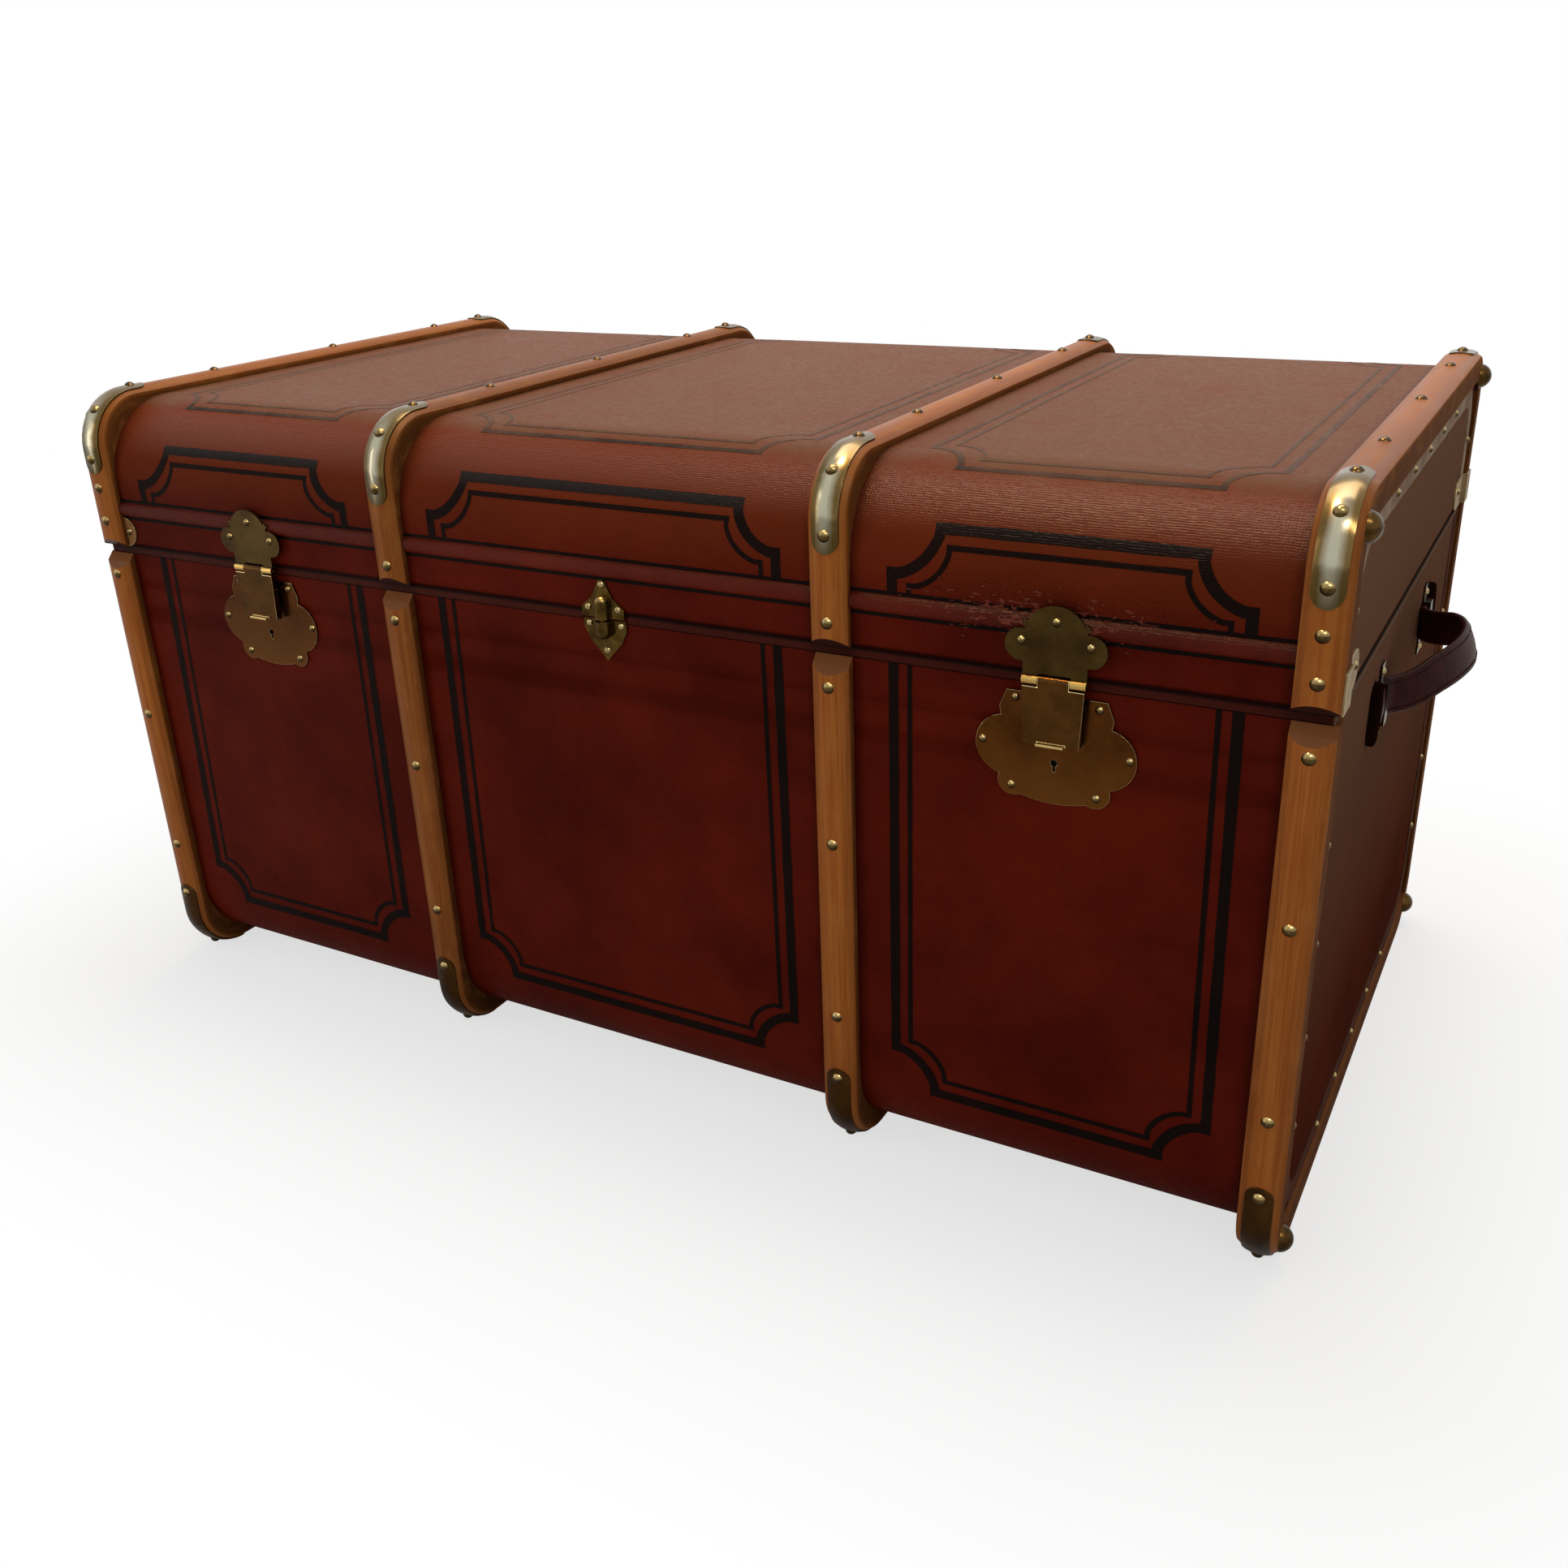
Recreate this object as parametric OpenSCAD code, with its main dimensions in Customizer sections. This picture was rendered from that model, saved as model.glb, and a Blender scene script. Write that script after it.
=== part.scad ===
// Travel trunk: a canvas-covered plywood case with a hinged lid, four bentwood hoops,
// brass caps and dome nails, two hasp locks, a guide clasp and a leather handle at each end.
// X runs along the front, -Y is the front, +Z is up. The trunk stands on its hoops at z = 0.

/* [Case] */
// Length of the canvas-covered case between its end faces
case_l = 1020; // [920:5:1140]
// Depth of the canvas-covered lid, front to back
case_d = 548; // [500:2:600]
// Height of the canvas-covered body, from its underside to the seam
body_h = 395; // [350:5:440]
// Height of the canvas-covered lid, from the seam to its top
lid_h = 118; // [114:1:140]
// Radius of the long rounded edges of the canvas
edge_r = 64; // [58:1:68]
// Thickness of the plywood
ply_t = 9; // [9:0.5:11]
// Thickness of the painted canvas
canvas_t = 1; // [0.8:0.1:1.5]
// Thickness of the paper and cloth lining
lining_t = 0.8; // [0.5:0.1:1]
// How far the lid stands out over the body at the front
lid_overhang = 1.5; // [1.3:0.1:2]
// Height of the dark strip round the rim of the body
rim_strip_h = 7.5; // [7:0.5:9]
// Thickness of the rim strip
rim_strip_t = 0.8; // [0.5:0.1:0.9]
// Thickness of the tongue that guides the lid
tongue_t = 4; // [3:0.5:5]
// Height of the tongue above the seam
tongue_rise = 10; // [6:1:14]
// Height of the tongue below the seam, where it is glued
tongue_foot = 23; // [18:1:30]
// Gap between the tongue and the end boards
tongue_gap = 0.4; // [0.3:0.1:0.8]

/* [Bead] */
// Height of the middle of the bead above the seam
bead_rise = 31.7; // [31.5:0.1:34]
// Width of the bead
bead_w = 12; // [11:0.5:12.5]
// How far the bead stands out of the canvas
bead_proud = 4; // [3.5:0.25:4.5]

/* [Bentwood hoops] */
// Width of a hoop
slat_w = 27; // [25:1:30]
// Thickness of a hoop at its crown
slat_h = 9; // [8.5:0.25:9.5]
// Radius of the crown across a hoop
crown_r = 22; // [20:1:26]
// Outside radius of a hoop at its bends
bend_r = 46; // [44:1:50]
// Thickness of the block that an end hoop is cut from, where it hooks over an end board
slat_depth = 24; // [22:1:25]
// How far the end hoops stand out past the end boards
slat_side_proud = 3.5; // [3:0.5:5]
// Distance between the middles of the two left hoops
left_bay = 316; // [290:1:340]
// Distance between the middles of the two right hoops
right_bay = 307; // [290:1:340]
// Depth of the flat that the trunk stands on, planed off the crown
foot_flat = 1; // [0.8:0.1:1.5]
// Angle of the bevels that let the hoops part at the back of the seam
back_bevel = 48; // [48:1:54]
// Angle of the cut at the front end of a body hoop
front_bevel = 48; // [40:1:54]
// Where the cut at the front end of a lid hoop starts, out from the canvas
lid_bevel_start = 3; // [2:0.5:4]
// Angle of the cut at the front end of a lid hoop
lid_bevel = 45; // [40:1:54]

/* [Brass caps] */
// Width of a cap
cap_w = 19; // [15:1:20]
// Thickness of a cap
cap_t = 1.2; // [0.8:0.1:1.6]
// Length of an upper cap below its bend
cap_drop = 18.5; // [14:0.5:22]
// Length of an upper cap along the top past its bend
cap_reach = 18; // [14:0.5:22]
// Length of a lower cap above its bend
cap_rise = 30; // [20:1:36]
// Distance of a cap's end nails from its ends
cap_nail_inset = 12; // [9:0.5:13]
// Angle round the bend of the middle nail of an upper cap
high_cap_nail_angle = 45; // [40:1:50]
// Angle round the bend of the second nail of a lower cap
low_cap_nail_angle = 55; // [40:1:60]

/* [Nails and studs] */
// Radius of a hoop nail's dome
nail_r = 4.3; // [3.5:0.1:5]
// Height of a hoop nail's dome
nail_dome = 2.8; // [2:0.1:3.2]
// Radius of a hoop nail's shank
nail_shank_r = 1.2; // [0.8:0.1:1.5]
// How far the hoop nails bite into the plywood
nail_bite = 5; // [3:0.5:6]
// Height above the seam of the lowest nail on each lid hoop
lid_nail_rise = [22, 15.5, 16.5, 19]; // [14:0.5:24]
// Height of the second nail of the end lid hoops above their lowest nail
lid_nail_step = 28; // [20:1:30]
// Depth below the seam of the top nail on each body hoop
body_nail_drop = [24.5, 28, 28, 26]; // [24:0.5:36]
// Height above the underside of the bottom nail on each body hoop
body_nail_rise = [110, 113, 112, 118.5]; // [100:0.5:130]
// How far each middle nail of a body hoop sits above the middle of its two neighbours
body_nail_shift = [0, 5, 12, 14]; // [0:1:20]
// Distance between the nails on top of a lid hoop
top_nail_pitch = 149; // [130:1:155]
// How far the nails on top sit behind the middle
top_nail_shift = 10; // [0:1:15]
// Radius of a plate nail's dome
tack_r = 2.9; // [2.2:0.1:3.2]
// Height of a plate nail's dome
tack_dome = 2; // [1.2:0.1:2.4]
// Radius of a plate nail's shank
tack_shank_r = 1; // [0.6:0.1:1.2]
// Length of a plate nail's shank
tack_shank_l = 7; // [5:0.5:8]
// Radius of a corner stud
stud_r = 9.5; // [8:0.5:10]
// Height of a corner stud
stud_h = 8; // [5:0.5:9]
// Distance of a corner stud from the crown of its hoop
stud_inset = 23; // [22:0.5:24]

/* [Hasp locks] */
// How far the left lock sits to the right of the middle of its bay
left_lock_shift = 10; // [0:0.5:20]
// How far the right lock sits to the right of the middle of its bay
right_lock_shift = 0.5; // [0:0.5:20]
// Thickness of the lock and hasp plates
plate_t = 1.6; // [1.2:0.1:1.8]
// Radius of the round top of a hasp plate
plate_top_r = 20.3; // [18:0.1:22]
// Radius of the side lobes of a hasp plate
plate_side_r = 10.5; // [9:0.1:11.5]
// Half width of the hasp's hinge
hasp_hinge_w = 20.5; // [19:0.5:22]
// Half width of the hasp's own knuckle
hasp_knuckle_w = 10.5; // [8:0.5:12]
// Outside radius of the hasp's hinge
hasp_knuckle_r = 3.2; // [2.9:0.1:3.3]
// Radius of the hasp's pin
hasp_pin_r = 1.2; // [1:0.1:1.5]
// Depth of the hasp's axis below the seam
hasp_axis_drop = 3; // [3:0.5:4]
// Half width of the hasp at its top
hasp_top_w = 20; // [18:0.5:21]
// Half width of the hasp at its foot
hasp_foot_w = 18; // [16:0.5:18]
// Length of the hasp below its axis
hasp_l = 41; // [38:0.5:44]
// Height of the folded sides of the hasp above its foot
hasp_side_l = 25; // [16:1:30]
// Half width of the hasp's lip
lip_w = 9; // [7:0.5:11]
// How far the lip stands out of the hasp
lip_out = 3.5; // [2:0.5:4]
// Half width of the hasp's staple
staple_w = 4.5; // [3.5:0.5:5]
// Depth of the middle of the staple below the seam
staple_drop = 26.5; // [25:0.5:28]
// Half height of the staple
staple_h = 4.7; // [4.2:0.1:5]
// Radius of the lock's bolt
bolt_r = 2; // [1.6:0.1:2.2]
// Length of the lock's bolt
bolt_l = 15; // [14:0.5:15.5]
// Half width of the lock case
lock_case_w = 24; // [23.5:0.1:24.2]
// Depth of the lock case in the plywood
lock_case_t = 8.2; // [8:0.1:8.4]
// Radius of the keyhole
keyhole_r = 2.4; // [2:0.1:3]
// Height of a lock plate
lock_plate_h = 73; // [72:0.5:76]
// Radius of the side lobes of a lock plate
lock_lobe_r = 20.5; // [19:0.5:21]
// Radius of the lower lobes of a lock plate
lock_foot_r = 10; // [8:0.5:11]

/* [Guide clasp] */
// Distance of the clasp from the middle
clasp_x = 10; // [-20:1:30]
// Half width of the clasp
clasp_w = 18; // [16:0.5:20]
// Radius of the clasp's barrel
barrel_r = 6; // [5.5:0.5:6.5]
// Length of the upper barrel
barrel_up = 17; // [12:0.5:18]
// Length of the lower barrel
barrel_down = 14; // [13:0.5:15]
// Radius of the guide peg
peg_r = 2.4; // [1.8:0.1:2.6]
// Length of the peg
peg_l = 10; // [6:0.5:11]
// Clearance round the peg
peg_gap = 0.6; // [0.5:0.1:0.8]

/* [Back hinges] */
// Half width of a hinge
hinge_w = 32; // [26:1:36]
// Half width of the lid's knuckle
hinge_knuckle_w = 11; // [8:1:14]
// Outside radius of the knuckles
hinge_r = 3.5; // [3.2:0.1:3.8]
// Thickness of the leaves
leaf_t = 1.5; // [1:0.1:1.8]
// Height of the leaf on the lid
lid_leaf_h = 23; // [18:1:24]
// Height of the leaf on the body
body_leaf_h = 32; // [24:1:40]
// Radius of the hinge pins
pin_r = 1.6; // [1.2:0.1:1.8]
// Running clearance round every pin and bolt
run_gap = 0.05; // [0.03:0.01:0.08]
// Gap between knuckles and the faces that pass them
pass_gap = 0.3; // [0.3:0.05:0.4]

/* [Corner plates and bindings] */
// Width of the binding round the end boards
binding_w = 16; // [12:1:20]
// Thickness of the binding
binding_t = 1; // [0.8:0.1:1.2]
// Distance between the nails of the binding
binding_pitch = 68; // [50:1:72]
// Height of a corner plate
corner_plate_h = 25; // [22:0.5:25.5]
// Thickness of a corner plate
corner_plate_t = 1.6; // [1.2:0.1:2]
// Length of a corner plate's leg that the end hoop hides
hidden_leg_l = 18; // [12:1:21]

/* [Leather handles] */
// Depth of the handles' middle below the seam
handle_drop = 54; // [48:1:70]
// Distance from the middle of a handle to its tee ends
handle_half = 123; // [118:1:135]
// Height of the leather strap
strap_h = 26; // [22:1:28]
// Thickness of the leather strap
strap_t = 5; // [4:0.5:6]
// Half height of a tee end
tee_h = 22; // [19:1:26]
// Half width of a tee end along the trunk's depth
tee_w = 11; // [9:1:13]
// Distance from a loop to the middle of its tee end
loop_from_tee = 25; // [23:1:27]
// Half width of a loop along the trunk's depth
loop_w = 6; // [4:0.5:6]
// Thickness of a loop
loop_t = 1.5; // [1:0.1:2]
// Length of a loop's ears
loop_ear = 14; // [12:1:16]
// Length of flat strap between a loop's middle and the bow
bow_from_loop = 8; // [7:1:12]
// How far the strap bows out
bow_out = 44; // [40:1:50]
// Radius of the strap where it turns out of the loops
bow_foot_r = 12; // [10:1:20]
// Length of the stiff stretch at each end of the bow
stiff_l = 24; // [22:1:28]
// Upward tilt of the strap as it hangs
strap_tilt = 20; // [14:1:22]
// Distance of the strap's pivot line from the end board
strap_pivot = 6; // [5.5:0.5:7]

/* [Hidden] */
$fn = 64;
cut = 1;
base_z = slat_h - foot_flat;
seam_z = base_z + body_h;
roof_z = seam_z + lid_h;
crown_top = roof_z + slat_h;
crown_low = base_z - slat_h;
crown_y = case_d / 2 + slat_h;
front_y = -case_d / 2;
back_y = case_d / 2;
body_front = front_y + lid_overhang;
end_x = case_l / 2;
wall_t = ply_t + canvas_t;
far = case_l;
end_slat_x = end_x + slat_side_proud - slat_w / 2;
slat_x = [-end_slat_x, left_bay - end_slat_x, end_slat_x - right_bay, end_slat_x];
left_lock_x = left_lock_shift - end_slat_x + left_bay / 2;
right_lock_x = right_lock_shift + end_slat_x - right_bay / 2;
lock_x = [left_lock_x, right_lock_x];
hinge_x = [left_lock_x, clasp_x, right_lock_x];
hook = slat_depth - slat_h;
body_slat_top = seam_z - rim_strip_h;
hinge_axis_y = back_y + hinge_r + pass_gap;
bead_z = seam_z + bead_rise;
bead_r = (pow(bead_w / 2, 2) + pow(bead_proud, 2)) / (2 * bead_proud);
tongue_x = end_x - wall_t - tongue_gap;
tongue_top = seam_z + tongue_rise;
tongue_low = seam_z - tongue_foot;
lid_lining_gap = 2;

cap_low = crown_top - bend_r - cap_drop;
cap_end_y = crown_y - bend_r - cap_reach;
low_cap_top = crown_low + bend_r + cap_rise;
low_cap_nail_inset = 8;
nail_shank_l = slat_h + canvas_t + nail_bite;
stud_shank_l = slat_w / 2 - 2 * nail_shank_r;
nail_sink = crown_r - sqrt(pow(crown_r, 2) - pow(nail_r, 2));
cap_sink = crown_r + cap_t - sqrt(pow(crown_r + cap_t, 2) - pow(nail_r, 2));

hasp_plate_y = front_y - bead_proud;
hasp_axis_y = hasp_plate_y - 1;
hasp_axis_z = seam_z - hasp_axis_drop;
hasp_top_z = hasp_axis_z - hasp_knuckle_r - pass_gap;
hasp_foot_z = hasp_axis_z - hasp_l;
hasp_set_back = 0.2;
hasp_face_y = hasp_axis_y - hasp_knuckle_r + hasp_set_back;
hasp_rise_gap = 1.4;
hasp_side_y = body_front - plate_t - hasp_rise_gap;
plate_cut_z = hasp_axis_z + hasp_knuckle_r + 4 * pass_gap;
plate_top_h = 25;
plate_side_x = 22;
plate_side_h = 19;
plate_nib = 4;
packing_low = 1;
packing_step = plate_side_h - plate_side_r / 2;
packing_inset = 2;
packing_ear = 4;
hasp_plate_nails_xz = [[0, 35], [-plate_side_x, 21.5], [plate_side_x, 21.5]];
ply_face_y = body_front + canvas_t;
bolt_depth = 3.3;
bolt_y = ply_face_y + bolt_depth;
staple_z = seam_z - staple_drop;
staple_past_bolt = 3.4;
staple_tip_y = bolt_y + staple_past_bolt;
staple_tip_gap = 0.5;
groove_y = staple_tip_y + staple_tip_gap;
staple_low_gap = 4.4;
notch_low = staple_z - staple_h - staple_low_gap;
staple_side_gap = 2;
notch_w = staple_w + staple_side_gap;
bolt_x = -notch_w - 1;
lock_case_drop = 14;
lock_case_h = 51;
lock_case_top = seam_z - lock_case_drop;
lock_case_low = lock_case_top - lock_case_h;
keyhole_drop = 58.5;
keyhole_z = seam_z - keyhole_drop;
keyhole_slot_w = 1.8;
keyhole_slot_l = 6;
lock_plate_drop = 13.5;
lock_plate_top = seam_z - lock_plate_drop;
lock_plate_low = lock_plate_top - lock_plate_h;
lock_lobe_x = 32;
lock_lobe_drop = 51;
lock_lobe_z = seam_z - lock_lobe_drop;
lock_foot_x = 27;
lock_foot_rise = 1.5;
lock_foot_z = lock_plate_low + lock_foot_r + lock_foot_rise;
lock_shoulder_w = 32.5;
lock_cusp_w = 37;
lock_cusp_drop = 25;
lock_cusp_z = seam_z - lock_cusp_drop;
lock_sole_r = 80;
lock_plate_nails_xz = [[-26.5, -18], [27.5, -19], [-48, -49.5], [48, -49.5], [-28, -78], [28, -78]];

barrel_out = 2.5;
barrel_y = front_y - barrel_out;
upper_clasp_drop = 4;
upper_clasp_low = seam_z - upper_clasp_drop;
clasp_gap = 2;
lower_clasp_top = upper_clasp_low - clasp_gap;
upper_clasp_h = 24;
lower_clasp_h = 31;
clasp_tip_r = 4;
upper_clasp_nails_xz = [[0, 20.5], [-12.6, 3], [12.6, 3]];
lower_clasp_nails_xz = [[-13.5, -9.5], [13.5, -9.5], [0, -29]];

leaf_nail_inset = 1.8 * tack_r;
leg_under_slat = slat_w - slat_side_proud;
ear_past_hook = 28;
end_ear = hook + ear_past_hook;
ear_nail_in = 4;
handle_z = seam_z - handle_drop;
strap_mid = strap_t / 2;
loop_y = handle_half - loop_from_tee;
bow_half = loop_y - bow_from_loop;
swing_half = bow_half - stiff_l;
bow_angle = 2 * atan(bow_out / bow_half);
bow_top_r = bow_half / sin(bow_angle) - bow_foot_r;
bow_centre = [0, bow_out + strap_mid - bow_top_r];
foot_centre = [bow_half, bow_foot_r + strap_mid];
swing_gap = 0.4;
ear_nail = loop_t + pass_gap + loop_ear / 2;

// Shared shapes

// Box from one corner to the other
module span(low, high) translate(low) cube(high - low);

// Extrudes a (y, z) outline along X, about the middle
module along_x(len) rotate([90, 0, 90]) linear_extrude(len, center = true) children();

// Extrudes an (x, z) outline from the plane y = face towards the back
module from_front(face, thick) translate([0, face + thick, 0]) rotate([90, 0, 0])
    linear_extrude(thick) children();

// Rectangle in (y, z) with its two lower corners rounded
module tub_2d(w, h, r) intersection() {
    translate([-w / 2, 0]) square([w, h]);
    union() {
        translate([-w / 2, r]) square([w, h]);
        translate([r - w / 2, 0]) square([w - 2 * r, h]);
        for (s = [-1, 1]) translate([s * (w / 2 - r), r]) circle(r);
    }
}

// Space of the body, drawn in by inset, raised past the seam by over, its ends drawn in by end_inset
module body_block(inset, over, end_inset) translate([0, lid_overhang / 2, base_z + inset])
    along_x(case_l - 2 * end_inset)
        tub_2d(case_d - lid_overhang - 2 * inset, body_h - inset + over, edge_r - inset);

// Space of the lid, drawn in by inset, lowered past the seam by over, its ends drawn in by end_inset
module lid_block(inset, over, end_inset) translate([0, 0, roof_z - inset]) mirror([0, 0, 1])
    along_x(case_l - 2 * end_inset)
        tub_2d(case_d - 2 * inset, lid_h - inset + over, edge_r - inset);

// The piece and its mirror image at the other end
module both_ends() {
    children();
    mirror([1, 0, 0]) children();
}

// The piece and its mirror image at the back
module front_and_back() {
    children();
    mirror([0, 1, 0]) children();
}

// Domed head on z = 0 with a round shank below it
module dome_nail(r, h, shank_r, shank_l) {
    ball_r = (r * r + h * h) / (2 * h);
    intersection() {
        translate([0, 0, h - ball_r]) sphere(ball_r);
        cylinder(r = r + cut, h = h + cut);
    }
    translate([0, 0, -shank_l]) cylinder(r = shank_r, h = shank_l + h / 4);
}

module tack() dome_nail(tack_r, tack_dome, tack_shank_r, tack_shank_l);

// Nails on a plate at x whose face is at y, at (x, z) places counted from the seam
module front_tacks(x, y, places) for (p = places)
    translate([x + p[0], y, seam_z + p[1]]) rotate([90, 0, 0]) tack();

// Case

module body_wrap() color("#b98f5c") difference() {
    body_block(canvas_t, 0, canvas_t);
    body_block(wall_t, cut, 0);
    for (x = lock_x) {
        lock_pocket(x);
        staple_groove(x);
    }
}

module body_end_boards() color("#c39a66") both_ends() intersection() {
    body_block(wall_t, 0, canvas_t);
    span([end_x - wall_t, -case_d, 0], [end_x, case_d, crown_top]);
}

module body_canvas() color("#6e2f22") difference() {
    body_block(0, 0, 0);
    body_block(canvas_t, cut, canvas_t);
    for (x = lock_x) {
        staple_groove(x);
        keyhole(x);
    }
}

module body_lining() color("#d8c9a6") difference() {
    body_block(wall_t, -tongue_foot, wall_t);
    body_block(wall_t + lining_t, cut, wall_t + lining_t);
}

// Runs round the front and the ends, under the seam
module rim_strip() color("#4a2420") difference() {
    span([-end_x - rim_strip_t, body_front - rim_strip_t, body_slat_top],
        [end_x + rim_strip_t, back_y - hook, seam_z]);
    body_block(0, cut, 0);
    for (x = lock_x) staple_groove(x);
    span([clasp_x - clasp_w - cut, body_front - cut, body_slat_top - cut],
        [clasp_x + clasp_w + cut, body_front + cut, seam_z + cut]);
}

// Glued inside the front, it stands up into the lid along the front and the ends
module rim_tongue() color("#c9a877") difference() {
    span([-tongue_x, body_front + wall_t, tongue_low],
        [tongue_x, back_y - wall_t - tongue_gap, tongue_top]);
    span([-tongue_x + tongue_t, body_front + wall_t + tongue_t, tongue_low - cut],
        [tongue_x - tongue_t, back_y, tongue_top + cut]);
}

module lid_wrap() color("#b98f5c") difference() {
    lid_block(canvas_t, 0, canvas_t);
    lid_block(wall_t, cut, 0);
}

module lid_end_boards() color("#c39a66") both_ends() intersection() {
    lid_block(wall_t, 0, canvas_t);
    span([end_x - wall_t, -case_d, 0], [end_x, case_d, crown_top]);
}

module lid_canvas() color("#7d3524") difference() {
    lid_block(0, 0, 0);
    lid_block(canvas_t, cut, canvas_t);
}

module lid_lining() color("#d8c9a6") difference() {
    lid_block(wall_t, -tongue_rise - lid_lining_gap, wall_t);
    lid_block(wall_t + lining_t, cut, wall_t + lining_t);
}

// Half-round moulding between the hoops, at the front and at the back
module lid_bead() color("#6e2f22") difference() {
    front_and_back() for (i = [0 : 2])
        translate([slat_x[i] + slat_w / 2, front_y + bead_r - bead_proud, bead_z]) rotate([0, 90, 0])
            cylinder(r = bead_r, h = slat_x[i + 1] - slat_x[i] - slat_w);
    lid_block(0, 0, 0);
}

// Bentwood hoops

// Section of a hoop: x points out of the crown, y runs across the hoop
module hoop_2d(w, grow) intersection() {
    translate([-slat_depth, -w / 2]) square([slat_depth + grow, w]);
    translate([-crown_r, 0]) circle(crown_r + grow);
}

// Hoop whose crown passes over the top at z = top and comes down both sides to z = low
module hoop(x, top, low, w, grow) translate([x, 0, 0]) {
    front_and_back() {
        translate([0, -crown_y, low]) rotate([0, 0, -90]) linear_extrude(top - bend_r - low)
            hoop_2d(w, grow);
        translate([0, bend_r - crown_y, top - bend_r]) rotate([90, 0, -90]) rotate_extrude(angle = 90)
            translate([bend_r, 0]) hoop_2d(w, grow);
    }
    translate([0, bend_r - crown_y, top]) rotate([0, -90, -90])
        linear_extrude(2 * (crown_y - bend_r)) hoop_2d(w, grow);
}

module lid_hoop(x, w, grow) hoop(x, crown_top, seam_z, w, grow);

module body_hoop(x, w, grow) translate([0, 0, crown_low]) mirror([0, 0, 1])
    hoop(x, 0, crown_low - seam_z, w, grow);

// Wedge in (y, z) that opens towards -y from its tip, between two angles to the horizontal
module wedge_cut(tip_y, tip_z, low_angle, high_angle) translate([0, tip_y, tip_z]) along_x(2 * far)
    polygon([[0, 0], [-far * cos(high_angle), far * sin(high_angle)],
        [-far * cos(low_angle), far * sin(low_angle)]]);

module lid_slat(x) color("#b5783f") difference() {
    lid_hoop(x, slat_w, 0);
    lid_block(0, cut, 0);
    wedge_cut(front_y - lid_bevel_start, seam_z, 0, lid_bevel);
    mirror([0, 1, 0]) wedge_cut(-hinge_axis_y, seam_z, 0, back_bevel);
    inner_legs();
}

module body_slat(x) color("#b5783f") difference() {
    body_hoop(x, slat_w, 0);
    body_block(0, cut, 0);
    span([-far, -far, body_slat_top], [far, 0, seam_z + cut]);
    wedge_cut(body_front, body_slat_top, -front_bevel, 0);
    mirror([0, 1, 0]) wedge_cut(-hinge_axis_y, seam_z, -back_bevel, 0);
    span([-far, -far, -far], [far, far, 0]);
}

// Outline of a cap, w wide with a round end at the origin, len long
module cap_2d(w, len) {
    translate([-w / 2, w / 2]) square([w, len - w / 2]);
    translate([0, w / 2]) circle(w / 2);
}

module lid_slat_caps() color("#a58a4c") for (x = slat_x) front_and_back() intersection() {
    difference() {
        lid_hoop(x, cap_w, cap_t);
        lid_hoop(x, slat_w, 0);
        lid_block(0, cut, 0);
    }
    translate([x, 0, cap_low]) from_front(-far, far) cap_2d(cap_w, far);
    translate([x, -cap_end_y, 0]) mirror([0, 1, 0]) linear_extrude(far) cap_2d(cap_w, far);
}

module body_slat_caps() color("#a58a4c") for (x = slat_x) front_and_back() intersection() {
    difference() {
        body_hoop(x, cap_w, cap_t);
        body_hoop(x, slat_w, 0);
        body_block(0, cut, 0);
    }
    translate([x, 0, low_cap_top]) mirror([0, 0, 1]) from_front(-far, far) cap_2d(cap_w, low_cap_top);
    span([-far, -far, 0], [far, bend_r - crown_y, far]);
}

module hoop_nail() dome_nail(nail_r, nail_dome, nail_shank_r, nail_shank_l);

// Nail on the front of a crown that stands out by grow
module nail_in_front(x, z, grow, sink) translate([x, sink - grow - crown_y, z]) rotate([90, 0, 0])
    hoop_nail();

// Nail on a bend, at an angle from the front, with side 1 for an upper bend and -1 for a lower one
module nail_in_bend(x, angle, side) {
    bend_z = side > 0 ? crown_top - bend_r : crown_low + bend_r;
    translate([x, bend_r - crown_y, bend_z]) rotate([90 - side * angle, 0, 0])
        translate([0, 0, bend_r + cap_t - cap_sink]) hoop_nail();
}

module lid_slat_nails() color("#b79a5a") for (i = [0 : 3]) {
    x = slat_x[i];
    low_z = seam_z + lid_nail_rise[i];
    front_and_back() {
        nail_in_front(x, low_z, 0, nail_sink);
        if (i == 0 || i == 3) nail_in_front(x, low_z + lid_nail_step, 0, nail_sink);
        nail_in_front(x, cap_low + cap_nail_inset, cap_t, cap_sink);
        nail_in_bend(x, high_cap_nail_angle, 1);
        translate([x, -cap_end_y - cap_nail_inset, crown_top + cap_t - cap_sink]) hoop_nail();
    }
    for (k = [-1 : 1]) translate([x, top_nail_shift + k * top_nail_pitch, crown_top - nail_sink])
        hoop_nail();
}

module body_slat_nails() color("#b79a5a") for (i = [0 : 3]) {
    x = slat_x[i];
    high_z = seam_z - body_nail_drop[i];
    low_z = base_z + body_nail_rise[i];
    front_and_back() {
        nail_in_front(x, high_z, 0, nail_sink);
        nail_in_front(x, (high_z + low_z) / 2 + body_nail_shift[i], 0, nail_sink);
        nail_in_front(x, low_z, 0, nail_sink);
        nail_in_front(x, low_cap_top - low_cap_nail_inset, cap_t, cap_sink);
        nail_in_bend(x, low_cap_nail_angle, -1);
    }
}

// Large domes on the outer sides of the end hoops, at the height z
module corner_studs(z) color("#9c7f45") both_ends() front_and_back()
    translate([end_x + slat_side_proud, stud_inset - crown_y, z]) rotate([0, 90, 0])
        dome_nail(stud_r, stud_h, nail_shank_r, stud_shank_l);

module lid_corner_studs() corner_studs(crown_top - stud_inset);

module body_corner_studs() corner_studs(crown_low + stud_inset);

// End bindings and corner plates

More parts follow.
